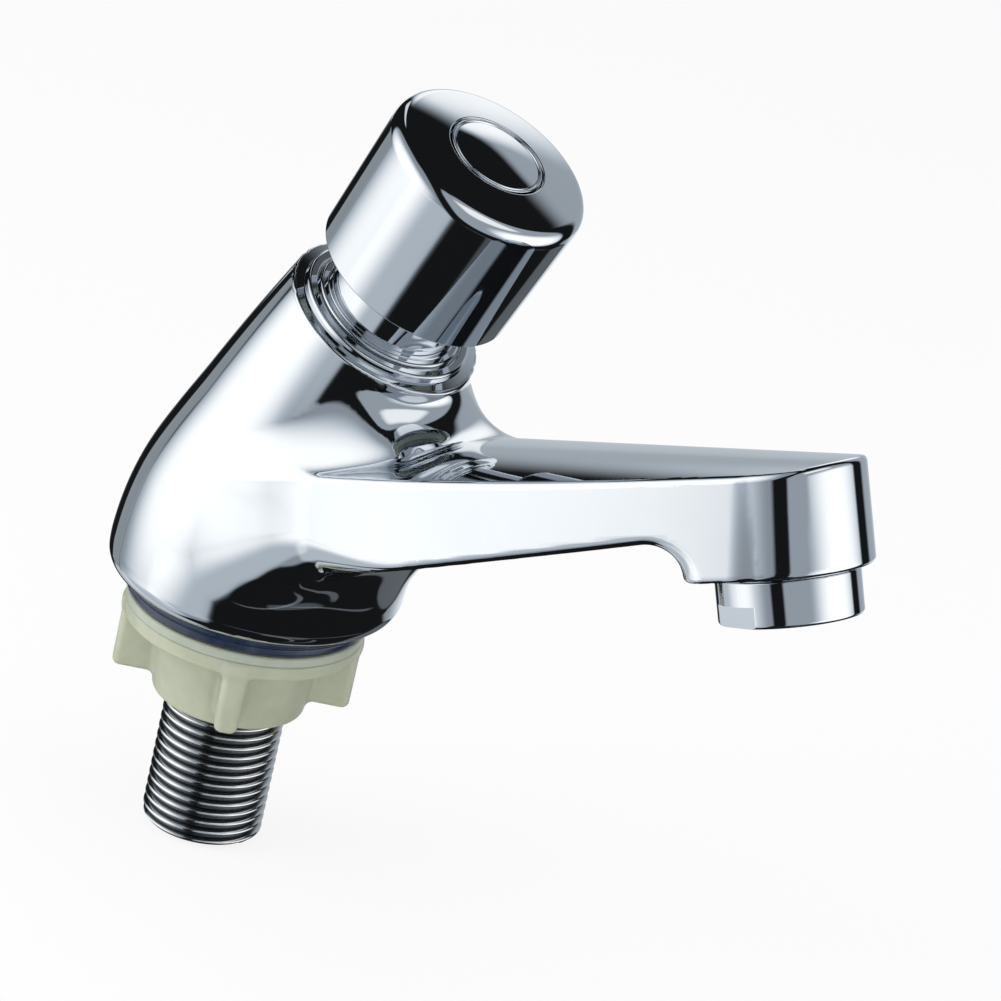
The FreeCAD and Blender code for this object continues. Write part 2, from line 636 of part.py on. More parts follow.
def make_valve_washer():
    return tube(VALVE_RADIUS, STUD_RADIUS + FIXED_FIT, VALVE_WASHER_BOTTOM, VALVE_SHOULDER)


def make_valve_nut():
    top = VALVE_WASHER_BOTTOM - VALVE_DISC_THICKNESS
    nut = hexagon(VALVE_NUT_FLATS, top - VALVE_NUT_HEIGHT, top)
    return nut.cut(rod(STUD_RADIUS + FIXED_FIT, top - VALVE_NUT_HEIGHT - PAST, top + PAST))


def make_piston():
    outer = TIMING_RADIUS - RUNNING_FIT
    bottom = PISTON_TOP - PISTON_THICKNESS
    piston = rod(outer, bottom, PISTON_TOP)
    middle = (bottom + PISTON_TOP) / 2
    groove = tube(outer + PAST, outer - PISTON_SEAL_DEPTH, middle - PISTON_SEAL_HEIGHT / 2,
                  middle + PISTON_SEAL_HEIGHT / 2)
    bore = rod(ROD_RADIUS + FIXED_FIT, bottom - PAST, PISTON_TOP + PAST)
    bleed = rod(BLEED_RADIUS, bottom - PAST, PISTON_TOP + PAST, BLEED_OFFSET)
    return piston.cut(groove.multiFuse([bore, bleed]))


def make_piston_seal():
    """Lip seal in the piston's groove."""
    outer = TIMING_RADIUS - RUNNING_FIT / 2
    inner = TIMING_RADIUS - RUNNING_FIT - PISTON_SEAL_DEPTH
    middle = PISTON_TOP - PISTON_THICKNESS / 2
    half = PISTON_SEAL_HEIGHT / 2
    return turned([(inner, middle - half), (outer - PISTON_SEAL_TAPER, middle - half), (outer, middle + half),
                   (outer - PISTON_SEAL_LIP, middle + half), (inner + PISTON_SEAL_HEEL, middle), (inner, middle)])


def make_bleed_pin():
    """Needle that keeps the piston's bleed hole clear and sets the closing time."""
    bottom = PISTON_TOP - PISTON_THICKNESS - BLEED_PIN_END
    needle = rod(BLEED_PIN_RADIUS, bottom, PISTON_TOP, BLEED_OFFSET)
    head = rod(BLEED_RADIUS + BLEED_HEAD_LIP, bottom - BLEED_HEAD_THICKNESS, bottom, BLEED_OFFSET)
    return needle.fuse(head)


def make_piston_clip():
    """Open ring in the push rod's groove under the piston."""
    ring = tube(CIRCLIP_RADIUS, CIRCLIP_GROOVE_RADIUS + FIXED_FIT, CIRCLIP_BOTTOM,
                CIRCLIP_BOTTOM + CIRCLIP_THICKNESS)
    gap = Part.makeBox(2 * CIRCLIP_RADIUS, ROD_RADIUS, 4 * CIRCLIP_THICKNESS,
                       Vector(0, -ROD_RADIUS / 2, CIRCLIP_BOTTOM - CIRCLIP_THICKNESS))
    return ring.cut(gap)


def make_return_spring():
    bottom = TIMING_FLOOR + SPRING_WIRE_RADIUS + SPRING_END_GAP
    top = PISTON_TOP - PISTON_THICKNESS - SPRING_WIRE_RADIUS - SPRING_END_GAP
    pitch = (top - bottom) / SPRING_TURNS
    path = helix_path(SPRING_COIL_RADIUS, pitch, bottom, SPRING_TURNS)
    wire_end = Part.makeCircle(SPRING_WIRE_RADIUS, Vector(SPRING_COIL_RADIUS, 0, bottom), ACROSS)
    return path.makePipeShell([Part.Wire(wire_end)], True, True)


# Bonnet group

def make_trim_ring():
    ring = tube(TRIM_RING_RADIUS, CHAMBER_RADIUS, 0, TRIM_RING_HEIGHT)
    rim = [e for e in ring.Edges if e.Length > 6 * TRIM_RING_RADIUS and e.BoundBox.ZMin > 0.1]
    return ring.makeFillet(TRIM_RING_ROUND, rim)


def make_bonnet():
    """Threaded plug, stepped flange and the sleeve that guides the cap."""
    step_top = TRIM_RING_HEIGHT + BONNET_STEP_HEIGHT
    plug = rod(CHAMBER_RADIUS - FIXED_FIT, SLEEVE_TOP, TRIM_RING_HEIGHT + MERGE)
    step = rod(BONNET_STEP_RADIUS, TRIM_RING_HEIGHT, step_top)
    rim = [e for e in step.Edges if e.BoundBox.ZMin > step_top - 0.01]
    step = step.makeFillet(BONNET_STEP_ROUND, rim)
    column = rod(BONNET_SLEEVE_RADIUS, step_top - MERGE, BONNET_SLEEVE_TOP)
    bonnet = plug.multiFuse([step, column])
    seal_groove = tube(CHAMBER_RADIUS + PAST, CHAMBER_RADIUS - BONNET_SEAL_DEPTH,
                       BONNET_SEAL_HEIGHT - O_RING_SECTION, BONNET_SEAL_HEIGHT + O_RING_SECTION)
    well = rod(BONNET_SLEEVE_RADIUS - BONNET_SLEEVE_WALL, BONNET_FLOOR_TOP, BONNET_SLEEVE_TOP + PAST)
    gland_hole = rod(GLAND_PLUG_RADIUS + FIXED_FIT, BONNET_FLOOR_TOP - GLAND_PLUG_DEPTH - SPINDLE_SEAL_HEIGHT,
                     BONNET_FLOOR_TOP + PAST)
    rod_hole = rod(SPINDLE_RADIUS + RUNNING_FIT, SLEEVE_TOP - PAST, BONNET_FLOOR_TOP + PAST)
    return bonnet.cut(seal_groove.multiFuse([well, gland_hole, rod_hole]))


def make_bonnet_seal():
    section = BONNET_SEAL_DEPTH / 2
    return o_ring(CHAMBER_RADIUS - section, section, BONNET_SEAL_HEIGHT)


def make_spindle_seal():
    bottom = BONNET_FLOOR_TOP - GLAND_PLUG_DEPTH - SPINDLE_SEAL_HEIGHT
    return tube(GLAND_PLUG_RADIUS, SPINDLE_RADIUS + RUNNING_FIT, bottom, bottom + SPINDLE_SEAL_HEIGHT)


def make_gland_nut():
    plug = rod(GLAND_PLUG_RADIUS, BONNET_FLOOR_TOP - GLAND_PLUG_DEPTH, BONNET_FLOOR_TOP + MERGE)
    head = hexagon(GLAND_FLATS, BONNET_FLOOR_TOP, BONNET_FLOOR_TOP + GLAND_HEIGHT)
    bore = rod(SPINDLE_RADIUS + RUNNING_FIT, SLEEVE_TOP, BONNET_FLOOR_TOP + GLAND_HEIGHT + PAST)
    return head.fuse(plug).cut(bore)


# Button cap group

def dome(radius, rise, edge_height):
    """Spherical cap whose rim has a radius and a height, with stock under it."""
    ball_radius = (radius ** 2 + rise ** 2) / (2 * rise)
    return Part.makeSphere(ball_radius, Vector(0, 0, edge_height + rise - ball_radius))


def make_button_cap():
    outside = cone(CAP_BOTTOM_RADIUS, CAP_TOP_RADIUS, CAP_BOTTOM, CAP_TOP + PAST)
    dome_edge = CAP_TOP - CAP_DOME_RISE
    outside = outside.common(dome(CAP_TOP_RADIUS, CAP_DOME_RISE, dome_edge))
    rim = [e for e in outside.Edges
           if e.Length > 6 * CAP_BOTTOM_RADIUS and e.BoundBox.ZMin > CAP_BOTTOM + PAST]
    outside = outside.makeFillet(CAP_RIM_ROUND, rim)
    inside = cone(CAP_BOTTOM_RADIUS - CAP_WALL, CAP_TOP_RADIUS - CAP_WALL, CAP_BOTTOM - PAST, CAP_CROWN_UNDER)
    boss = rod(CAP_BOSS_RADIUS, CAP_BOSS_BOTTOM, CAP_CROWN_UNDER + MERGE)
    cap = outside.cut(inside).fuse(boss)
    socket = rod(SPINDLE_RADIUS + FIXED_FIT, CAP_BOSS_BOTTOM - PAST, SPINDLE_TOP + FIXED_FIT)
    screw_hole = rod(SCREW_RADIUS + LOOSE_FIT, SPINDLE_TOP - PAST, CAP_TOP)
    head_hole = rod(SCREW_HEAD_RADIUS + LOOSE_FIT, SCREW_SEAT, CAP_TOP)
    pocket = rod(DISC_RADIUS + FIXED_FIT, CAP_TOP - DISC_POCKET_DEPTH, CAP_TOP + PAST)
    return cap.cut(socket.multiFuse([screw_hole, head_hole, pocket]))


def make_cap_screw():
    head = rod(SCREW_HEAD_RADIUS, SCREW_SEAT, SCREW_SEAT + SCREW_HEAD_HEIGHT)
    shank = rod(SCREW_RADIUS, SCREW_BOTTOM, SCREW_SEAT + MERGE)
    socket = hexagon(SCREW_SOCKET_FLATS, SCREW_SEAT + SCREW_SOCKET_FLOOR, CAP_TOP)
    return head.fuse(shank).cut(socket)


def make_index_disc():
    bottom = CAP_TOP - DISC_POCKET_DEPTH
    disc = rod(DISC_RADIUS, bottom, CAP_TOP + DISC_DOME_RISE)
    edge_height = bottom + DISC_THICKNESS
    return disc.common(dome(DISC_RADIUS, DISC_DOME_RISE, edge_height))


def make_guide_bush():
    """Plastic bush in the mouth of the cap, running on the bonnet's sleeve."""
    share = (BUSH_BOTTOM - CAP_BOTTOM) / (CAP_TOP + PAST - CAP_BOTTOM)
    cap_inside = CAP_BOTTOM_RADIUS - CAP_WALL + share * (CAP_TOP_RADIUS - CAP_BOTTOM_RADIUS)
    return tube(cap_inside - FIXED_FIT, BONNET_SLEEVE_RADIUS + RUNNING_FIT, BUSH_BOTTOM,
                BUSH_BOTTOM + BUSH_HEIGHT)


# Aerator, along n in the spout's frame

def make_aerator_housing():
    skirt = rod(AERATOR_RADIUS, 0, HEAD_BOTTOM - AERATOR_SKIRT_GAP)
    rim = [e for e in skirt.Edges if e.BoundBox.ZMax < 0.01]
    skirt = skirt.makeFillet(AERATOR_RIM_ROUND, rim)
    neck = rod(AERATOR_THREAD_RADIUS, AERATOR_LIP_HEIGHT, AERATOR_TOP)
    housing = skirt.fuse(neck)
    bore = rod(AERATOR_BORE_RADIUS, AERATOR_LIP_HEIGHT, AERATOR_TOP + PAST)
    mouth = rod(AERATOR_LIP_RADIUS, -PAST, AERATOR_LIP_HEIGHT + PAST)
    flat = Part.makeBox(AERATOR_RADIUS, 2 * AERATOR_LIP_RADIUS, AERATOR_FLAT_HEIGHT,
                        Vector(AERATOR_FLAT_DISTANCE, -AERATOR_LIP_RADIUS, 0))
    return housing.cut(bore.multiFuse([mouth] + ring_of(flat, 2, AERATOR_FLAT_TURN)))


def make_aerator_washer():
    return tube(AERATOR_THREAD_RADIUS - FIXED_FIT, AERATOR_WASHER_BORE, AERATOR_TOP, SOCKET_TOP)


def make_flow_straightener():
    """Honeycomb insert on the housing's lip."""
    disc = rod(AERATOR_BORE_RADIUS - FIXED_FIT, AERATOR_LIP_HEIGHT, STRAIGHTENER_TOP)
    limit = AERATOR_LIP_RADIUS - STRAIGHTENER_HOLE_RADIUS
    holes = [rod(STRAIGHTENER_HOLE_RADIUS, 0, STRAIGHTENER_TOP + PAST, x, y)
             for x, y in hex_grid(STRAIGHTENER_HOLE_SPACING, limit)]
    return disc.cut(holes[0].multiFuse(holes[1:]))


def make_aerator_screens():
    """Two perforated discs over the straightener."""
    limit = AERATOR_LIP_RADIUS - SCREEN_HOLE_RADIUS
    screens = []
    for i in range(SCREEN_COUNT):
        bottom = STRAIGHTENER_TOP + i * (SCREEN_THICKNESS + SCREEN_GAP)
        spacer = tube(AERATOR_BORE_RADIUS - FIXED_FIT, AERATOR_LIP_RADIUS, bottom,
                      bottom + SCREEN_THICKNESS + SCREEN_GAP)
        disc = rod(AERATOR_BORE_RADIUS - FIXED_FIT, bottom, bottom + SCREEN_THICKNESS)
        holes = [rod(SCREEN_HOLE_RADIUS, bottom - PAST, bottom + SCREEN_THICKNESS + SCREEN_GAP, x, y)
                 for x, y in hex_grid(SCREEN_HOLE_SPACING, limit)]
        screens.append(disc.fuse(spacer).cut(holes[0].multiFuse(holes[1:])))
    return Part.makeCompound(screens)


def make_jet_plate():
    """Flow regulator plate with a ring of jets, on top of the screens."""
    disc = rod(AERATOR_BORE_RADIUS - FIXED_FIT, JET_PLATE_BOTTOM, JET_PLATE_BOTTOM + JET_PLATE_THICKNESS)
    jet = rod(JET_HOLE_RADIUS, JET_PLATE_BOTTOM - PAST, JET_PLATE_BOTTOM + JET_PLATE_THICKNESS + PAST,
              JET_RING_RADIUS)
    jets = ring_of(jet, JET_HOLE_COUNT)
    return disc.cut(jets[0].multiFuse(jets[1:]))


def build_all():
    keep("body", make_body())
    keep("inlet_shank", make_inlet_shank())
    keep("base_gasket", make_base_gasket())
    keep("slip_washer", make_slip_washer())
    keep("wing_nut", make_wing_nut())
    keep("inlet_filter", make_inlet_filter())
    in_cartridge = {
        "cartridge_gasket": make_cartridge_gasket,
        "cartridge_sleeve": make_cartridge_sleeve,
        "rod_seal": make_rod_seal,
        "spindle": make_spindle,
        "valve_disc": make_valve_disc,
        "valve_washer": make_valve_washer,
        "valve_nut": make_valve_nut,
        "piston": make_piston,
        "piston_seal": make_piston_seal,
        "bleed_pin": make_bleed_pin,
        "piston_clip": make_piston_clip,
        "return_spring": make_return_spring,
        "trim_ring": make_trim_ring,
        "bonnet": make_bonnet,
        "bonnet_seal": make_bonnet_seal,
        "spindle_seal": make_spindle_seal,
        "gland_nut": make_gland_nut,
        "button_cap": make_button_cap,
        "cap_screw": make_cap_screw,
        "index_disc": make_index_disc,
        "guide_bush": make_guide_bush,
    }
    for name, make in in_cartridge.items():
        keep(name, make(), CARTRIDGE_FRAME)
    in_spout = {
        "aerator_housing": make_aerator_housing,
        "aerator_washer": make_aerator_washer,
        "flow_straightener": make_flow_straightener,
        "aerator_screens": make_aerator_screens,
        "jet_plate": make_jet_plate,
    }
    for name, make in in_spout.items():
        keep(name, make(), SPOUT_FRAME)


if __name__ == "__main__":
    build_all()
    os.makedirs("parts", exist_ok=True)
    for name, shape in nodes.items():
        shape.exportStep("parts/" + name + ".step")
        print(name, len(shape.Solids), shape.isValid(), round(shape.Volume, 1))
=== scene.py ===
# %% [markdown]
# This lesson dresses a push-button basin tap. The CAD frame comes in first and stays where
# it is: every piece made here sits in the same place as the solid it stands for.

# %% Load the frame
import math
import bmesh
import bpy
import numpy as np
from mathutils import Matrix, Vector


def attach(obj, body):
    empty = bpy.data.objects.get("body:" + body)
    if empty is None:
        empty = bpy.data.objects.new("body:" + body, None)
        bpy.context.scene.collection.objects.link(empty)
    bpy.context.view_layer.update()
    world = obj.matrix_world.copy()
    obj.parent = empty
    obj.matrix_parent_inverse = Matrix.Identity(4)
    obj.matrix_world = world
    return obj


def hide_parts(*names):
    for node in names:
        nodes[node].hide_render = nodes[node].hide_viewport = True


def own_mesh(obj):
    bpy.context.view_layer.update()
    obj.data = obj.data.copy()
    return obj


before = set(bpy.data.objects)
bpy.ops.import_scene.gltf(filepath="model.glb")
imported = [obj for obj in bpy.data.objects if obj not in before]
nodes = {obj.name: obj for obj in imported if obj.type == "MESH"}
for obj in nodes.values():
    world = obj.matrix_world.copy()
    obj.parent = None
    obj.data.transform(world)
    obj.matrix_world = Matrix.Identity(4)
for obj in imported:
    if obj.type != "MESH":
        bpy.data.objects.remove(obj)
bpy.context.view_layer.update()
MM = 0.001

# %% [markdown]
# The photograph looks down at the tap from its right side with a long lens, a little
# rolled. The camera is placed by its direction, its distance and that roll, and aimed at a
# point in the middle of the tap. A long lens keeps the spout's edges almost parallel.

# %% Place the camera
AIM = np.array([47.4, 0.0, 40.25])
CAMERA_TURN, CAMERA_TILT, CAMERA_ROLL = map(math.radians, (37.0, 21.99, 13.33))
CAMERA_DISTANCE = 700.0
backward = np.array([math.sin(CAMERA_TURN) * math.cos(CAMERA_TILT),
                     -math.cos(CAMERA_TURN) * math.cos(CAMERA_TILT), math.sin(CAMERA_TILT)])
level = np.array([math.cos(CAMERA_TURN), math.sin(CAMERA_TURN), 0.0])
upright = np.cross(level, -backward)
sideways = math.cos(CAMERA_ROLL) * level + math.sin(CAMERA_ROLL) * upright
over = np.cross(backward, sideways)
lens = bpy.data.cameras.new("lens")
lens.lens = 156.98
lens.sensor_width = 36.0
lens.clip_start, lens.clip_end = 0.01, 20.0
camera = bpy.data.objects.new("camera", lens)
bpy.context.scene.collection.objects.link(camera)
place = Matrix([[*row] for row in np.stack([sideways, over, backward], 1)]).to_4x4()
place.translation = Vector((AIM + backward * CAMERA_DISTANCE) * MM)
camera.matrix_world = place
bpy.context.scene.camera = camera
bpy.context.scene.view_settings.view_transform = "Standard"
print("camera at", [round(v, 3) for v in place.translation])

# %% [markdown]
# Node trees soon get hard to read when every link is a line of its own. This small class
# wraps a socket, so that a sum or a product of sockets is written as ordinary arithmetic
# and adds its own Math nodes. Every other node comes from one method, which takes the
# node's type, its settings, and what goes into its sockets.

# %% A wired socket and the bench that makes nodes
class Wire:
    """One output socket that Python's operators can work on."""

    def __init__(self, bench, socket):
        self.bench, self.socket = bench, socket

    def other(self, name):
        """Another output of the same node."""
        return Wire(self.bench, self.socket.node.outputs[name])

    def math(self, operation, *values, clamp=False):
        settings = {"operation": operation, "use_clamp": clamp}
        return self.bench.node("ShaderNodeMath", settings, dict(enumerate((self,) + values)))

    def __add__(self, value): return self.math("ADD", value)
    def __radd__(self, value): return self.math("ADD", value)
    def __mul__(self, value): return self.math("MULTIPLY", value)
    def __rmul__(self, value): return self.math("MULTIPLY", value)
    def __sub__(self, value): return self.math("SUBTRACT", value)
    def __rsub__(self, value): return (self * -1.0).math("ADD", value)
    def __truediv__(self, value): return self.math("DIVIDE", value)


class Bench:
    """A node tree that is being wired."""

    def __init__(self, tree):
        self.tree = tree

    def node(self, kind, settings=None, sockets=None, out=0):
        made = self.tree.nodes.new(kind)
        for name, value in (settings or {}).items():
            if name == "stops":
                ramp = made.color_ramp.elements
                while len(ramp) < len(value):
                    ramp.new(0.5)
                for stop, (place, colour) in zip(ramp, value):
                    stop.position, stop.color = place, (*colour, 1.0)
            else:
                setattr(made, name, value)
        for name, value in (sockets or {}).items():
            if isinstance(value, Wire):
                self.tree.links.new(value.socket, made.inputs[name])
            else:
                made.inputs[name].default_value = value
        return Wire(self, made.outputs[out] if made.outputs else None)

    def mix(self, factor, low, high):
        """Colour between two colours."""
        def full(colour):
            return colour if isinstance(colour, Wire) else (*colour, 1.0)
        sockets = {0: factor, 6: full(low), 7: full(high)}
        return self.node("ShaderNodeMix", {"data_type": "RGBA"}, sockets, 2)

    def noise(self, where, scale, detail=2.0, roughness=0.5):
        sockets = {"Vector": where, "Scale": scale, "Detail": detail, "Roughness": roughness}
        return self.node("ShaderNodeTexNoise", {}, sockets)

    def rise(self, value, low, high):
        """0 below low, 1 above high and a smooth rise between."""
        sockets = {"Value": value, "From Min": low, "From Max": high}
        return self.node("ShaderNodeMapRange", {"interpolation_type": "SMOOTHSTEP"}, sockets)

print("bench ready")

# %% [markdown]
# Each finish starts from the same Principled shader. The numbers that hold over the whole
# surface go straight into its sockets. A finish adds what changes over the surface: colour,
# roughness and a bump, all read from Object coordinates, so that they stay with the metal.

# %% Start a finish
def start_finish(name, constants):
    """A new material, its bench, its shader and its Object coordinates."""
    finish = bpy.data.materials.new(name)
    finish.use_nodes = True
    finish.node_tree.nodes.clear()
    bench = Bench(finish.node_tree)
    shader = bench.node("ShaderNodeBsdfPrincipled", {}, constants)
    bench.node("ShaderNodeOutputMaterial", {}, {"Surface": shader})
    where = bench.node("ShaderNodeTexCoord").other("Object")
    return finish, bench, shader.socket.node, where


def feed(bench, shader, **values):
    """Link what varies to the shader's sockets."""
    for name, value in values.items():
        bench.tree.links.new(value.socket, shader.inputs[name.replace("_", " ")])


def bump(bench, height, distance, strength=1.0):
    sockets = {"Height": height, "Distance": distance, "Strength": strength}
    return bench.node("ShaderNodeBump", {}, sockets)

finishes = {}
print("ready to make finishes")

# %% [markdown]
# Chrome plate on polished brass is nearly a mirror. A perfect mirror looks like computer
# glass, so the roughness drifts a little with the polishing, very fine buffing marks break
# the light, and a slow unevenness of a few hundredths of a millimetre bends the long
# reflections, as it does on a hand-polished casting. Handling leaves faint hazy patches.

# %% Chrome
def make_chrome(name, tint, smooth, hazy, waviness):
    finish, bench, shader, where = start_finish(name, {"Metallic": 1.0, "IOR": 1.5})
    drift = bench.noise(where, 45.0, 3.0)
    buffing = bench.noise(where, 2600.0, 2.0, 0.6)
    haze = bench.rise(bench.noise(where, 90.0, 4.0, 0.6), 0.52, 0.75)
    roughness = smooth + (hazy - smooth) * 0.4 * drift + (hazy - smooth) * 0.35 * haze + buffing * 0.008
    colour = bench.mix(drift * 0.6 + haze * 0.4, tint, [min(1.0, c * 1.045) for c in tint])
    wave = bench.noise(where, 70.0, 1.0, 0.4)
    normal = bump(bench, wave * waviness + buffing * 0.0000006, 1.0)
    feed(bench, shader, Base_Color=colour, Roughness=roughness, Normal=normal)
    return finish

finishes["chrome"] = make_chrome("chrome", (0.60, 0.635, 0.68), 0.022, 0.075, 0.00003)
print("chrome made")

# %% [markdown]
# The shank has the same plate. The distance from the axis tells a crest from a valley: the
# valleys are painted dark as shade, and they are a little rougher.

# %% Chrome on the thread
SHADED_VALLEY, RIDGE = 9.45, 10.4


def make_thread_chrome():
    finish, bench, shader, where = start_finish("thread_chrome_painted_shade", {"Metallic": 1.0})
    flat = bench.node("ShaderNodeSeparateXYZ", {}, {0: where})
    radius = (flat * flat + flat.other("Y") * flat.other("Y")).math("SQRT") * 1000.0
    crest = bench.rise(radius, SHADED_VALLEY, RIDGE)
    grain = bench.noise(where, 900.0, 3.0)
    # Painted shade: the valleys take a near-black colour and the crests keep the plate's colour.
    colour = bench.mix(crest, (0.10, 0.105, 0.115), (0.66, 0.68, 0.70))
    feed(bench, shader, Base_Color=colour, Roughness=0.09 + (1.0 - crest) * 0.16 + grain * 0.06,
         Normal=bump(bench, grain, 0.00001))
    return finish

finishes["thread"] = make_thread_chrome()
print("thread chrome made")

# %% [markdown]
# The inside of the tap is bare brass, stainless steel, moulded plastic and rubber. Brass
# dulls in brown patches, drawn steel has fine streaks, moulded plastic has a soft grain and
# lets a little light in, and rubber is dull with a fine bloom.

# %% Brass and stainless steel
def make_brass():
    finish, bench, shader, where = start_finish("brass", {"Metallic": 1.0})
    patches = bench.rise(bench.noise(where, 160.0, 5.0, 0.6), 0.4, 0.7)
    grain = bench.noise(where, 1900.0, 2.0)
    colour = bench.mix(patches, (0.72, 0.47, 0.19), (0.50, 0.30, 0.11))
    feed(bench, shader, Base_Color=colour, Roughness=0.22 + patches * 0.14 + grain * 0.06,
         Normal=bump(bench, grain, 0.00001))
    return finish


def make_stainless():
    finish, bench, shader, where = start_finish("stainless", {"Metallic": 1.0})
    stretched = bench.node("ShaderNodeMapping", {}, {"Vector": where, "Scale": (1.0, 1.0, 14.0)})
    streaks = bench.noise(stretched, 500.0, 3.0, 0.65)
    colour = bench.mix(streaks, (0.50, 0.51, 0.53), (0.62, 0.63, 0.64))
    feed(bench, shader, Base_Color=colour, Roughness=0.16 + streaks * 0.16,
         Normal=bump(bench, streaks, 0.000012))
    return finish

finishes["brass"], finishes["stainless"] = make_brass(), make_stainless()
print("brass and stainless made")

# %% Moulded plastics
def make_plastic(name, body, shade, glow, sheen_rough):
    """Moulded plastic: cloudy colour, soft grain, and light that sinks in a little."""
    constants = {"IOR": 1.49, "Subsurface Weight": glow, "Subsurface Radius": (1.0, 0.9, 0.6),
                 "Subsurface Scale": 0.004}
    finish, bench, shader, where = start_finish(name, constants)
    clouds = bench.noise(where, 110.0, 3.0, 0.55)
    flow = bench.noise(where, 420.0, 4.0, 0.6)
    grain = bench.noise(where, 3200.0, 2.0)
    colour = bench.mix(bench.rise(clouds * 0.7 + flow * 0.3, 0.3, 0.7), body, shade)
    roughness = sheen_rough + flow * 0.12 + grain * 0.05
    normal = bump(bench, flow * 0.00003 + grain * 0.000006, 1.0)
    feed(bench, shader, Base_Color=colour, Roughness=roughness, Normal=normal)
    return finish

PLASTICS = {"ivory_plastic": ((0.47, 0.50, 0.385), (0.41, 0.44, 0.335), 0.35, 0.30),
            "white_plastic": ((0.45, 0.49, 0.41), (0.39, 0.43, 0.36), 0.25, 0.32)}
for name, values in PLASTICS.items():
    finishes[name] = make_plastic(name, *values)
print("plastics made")

# %% Rubbers
def make_rubber(name, dark, light, matt, grain_depth):
    finish, bench, shader, where = start_finish(name, {"IOR": 1.52, "Specular IOR Level": 0.5})
    bloom = bench.rise(bench.noise(where, 240.0, 4.0, 0.6), 0.35, 0.75)
    grain = bench.noise(where, 2400.0, 3.0, 0.6)
    colour = bench.mix(bloom * 0.7 + grain * 0.3, dark, light)
    feed(bench, shader, Base_Color=colour, Roughness=matt + bloom * 0.10 + grain * 0.08,
         Normal=bump(bench, grain, grain_depth))
    return finish

RUBBERS = {"black_rubber": ((0.012, 0.012, 0.013), (0.03, 0.03, 0.032), 0.45, 0.00002),
           "blue_rubber": ((0.012, 0.020, 0.044), (0.034, 0.055, 0.105), 0.12, 0.00001)}
for name, values in RUBBERS.items():
    finishes[name] = make_rubber(name, *values)
print("rubbers made")

# %% [markdown]
# The pieces of CAD whose shape is right keep their meshes and only change their finish.
# Each node comes in with a plain material that has the name of its finish.

# %% Dress the CAD nodes
for name, node in nodes.items():
    slot = node.data.materials[0].name.split(".")[0]
    node.data.materials.clear()
    node.data.materials.append(finishes[slot])
print("dressed", len(nodes), "nodes")

# %% [markdown]
# The cast body is one flowing form: a pear-shaped column, a spout that grows out of it and a
# square head. Panels of subdivision surface could follow it, but the soft hollows between
# column and spout are easier to describe by a field: a number at every point in space,
# negative inside the metal and positive outside. A round minimum of two such fields joins
# two forms with a fillet, and a round maximum cuts one form with another.

# %% Round joins between two fields
def join(a, b, radius):
    """Both forms together, with a fillet of that radius between them."""
    corner = np.hypot(np.maximum(radius - a, 0), np.maximum(radius - b, 0))
    return np.maximum(radius, np.minimum(a, b)) - corner


def cut(a, b, radius):
    """What two forms share, with a rounded edge of that radius."""
    return -join(-a, -b, radius)


def soft_step(x):
    x = np.clip(x, 0, 1)
    return x * x * (3 - 2 * x)

LEAN = math.radians(24.0)
COS, SIN = math.cos(LEAN), math.sin(LEAN)
NECK = np.array([16.05, 0.0, 59.5])
OUTLET = np.array([106.6, 0.0, 47.0])
GASKET_TOP = 2.8
print("a 2 mm fillet fills the corner by", round(-float(join(0.0, 0.0, 2.0)), 3), "mm")

# %% [markdown]
# The column and the spout lean by the same angle in opposite directions, so each has its
# own frame. These helpers turn points, given as rows of three, into a frame and back.

# %% Frames of the spout and of the cartridge
def into(points, middle, tilt):
    d = points - middle
    c, s = math.cos(tilt), math.sin(tilt)
    return np.stack([d[..., 0] * c - d[..., 2] * s, d[..., 1], d[..., 0] * s + d[..., 2] * c], -1)


def out_of(local, middle, tilt):
    c, s = math.cos(tilt), math.sin(tilt)
    turned = [local[..., 0] * c + local[..., 2] * s, local[..., 1], -local[..., 0] * s + local[..., 2] * c]
    return middle + np.stack(turned, -1)


def spout_frame(points): return into(points, OUTLET, -LEAN)
def neck_frame(points): return into(points, NECK, LEAN)
def from_spout(local): return out_of(local, OUTLET, -LEAN)
def from_neck(local): return out_of(local, NECK, LEAN)

print("outlet in the neck's frame:", neck_frame(OUTLET).round(1))

# %% [markdown]
# The column is a run of circles along a bent centre line. To know how far a point is from
# it, we look for the nearest place on the line with a few Newton steps, and compare the
# distance with the column's radius there.

# %% Field of the column
FOOT = np.array([0.0, 0.0, GASKET_TOP])
FOOT_PULL = FOOT + np.array([0.0, 0.0, 2.0])
NECK_PULL = NECK - np.array([SIN, 0.0, COS]) * 37.0
COLUMN_RADII = np.array([24.4, 25.3, 24.5, 20.6, 16.9])


def centre_line(t):
    """Place, first and second derivative of the column's centre line."""
    t = t[..., None]
    r = 1 - t
    at = FOOT * r ** 3 + FOOT_PULL * 3 * r * r * t + NECK_PULL * 3 * r * t * t + NECK * t ** 3
    ahead = 3 * ((FOOT_PULL - FOOT) * r * r + (NECK_PULL - FOOT_PULL) * 2 * r * t + (NECK - NECK_PULL) * t * t)
    bend = 6 * ((NECK_PULL - 2 * FOOT_PULL + FOOT) * r + (NECK - 2 * NECK_PULL + FOOT_PULL) * t)
    return at, ahead, bend


def column_radius(t):
    """Smooth curve through the radii at the quarters of the line."""
    x = np.clip(t, 0, 1) * 4
    i = np.minimum(x.astype(int), 3)
    f = x - i
    slope = np.gradient(COLUMN_RADII)
    return ((2 * f ** 3 - 3 * f ** 2 + 1) * COLUMN_RADII[i] + (f ** 3 - 2 * f ** 2 + f) * slope[i]
            + (3 * f ** 2 - 2 * f ** 3) * COLUMN_RADII[i + 1] + (f ** 3 - f ** 2) * slope[i + 1])


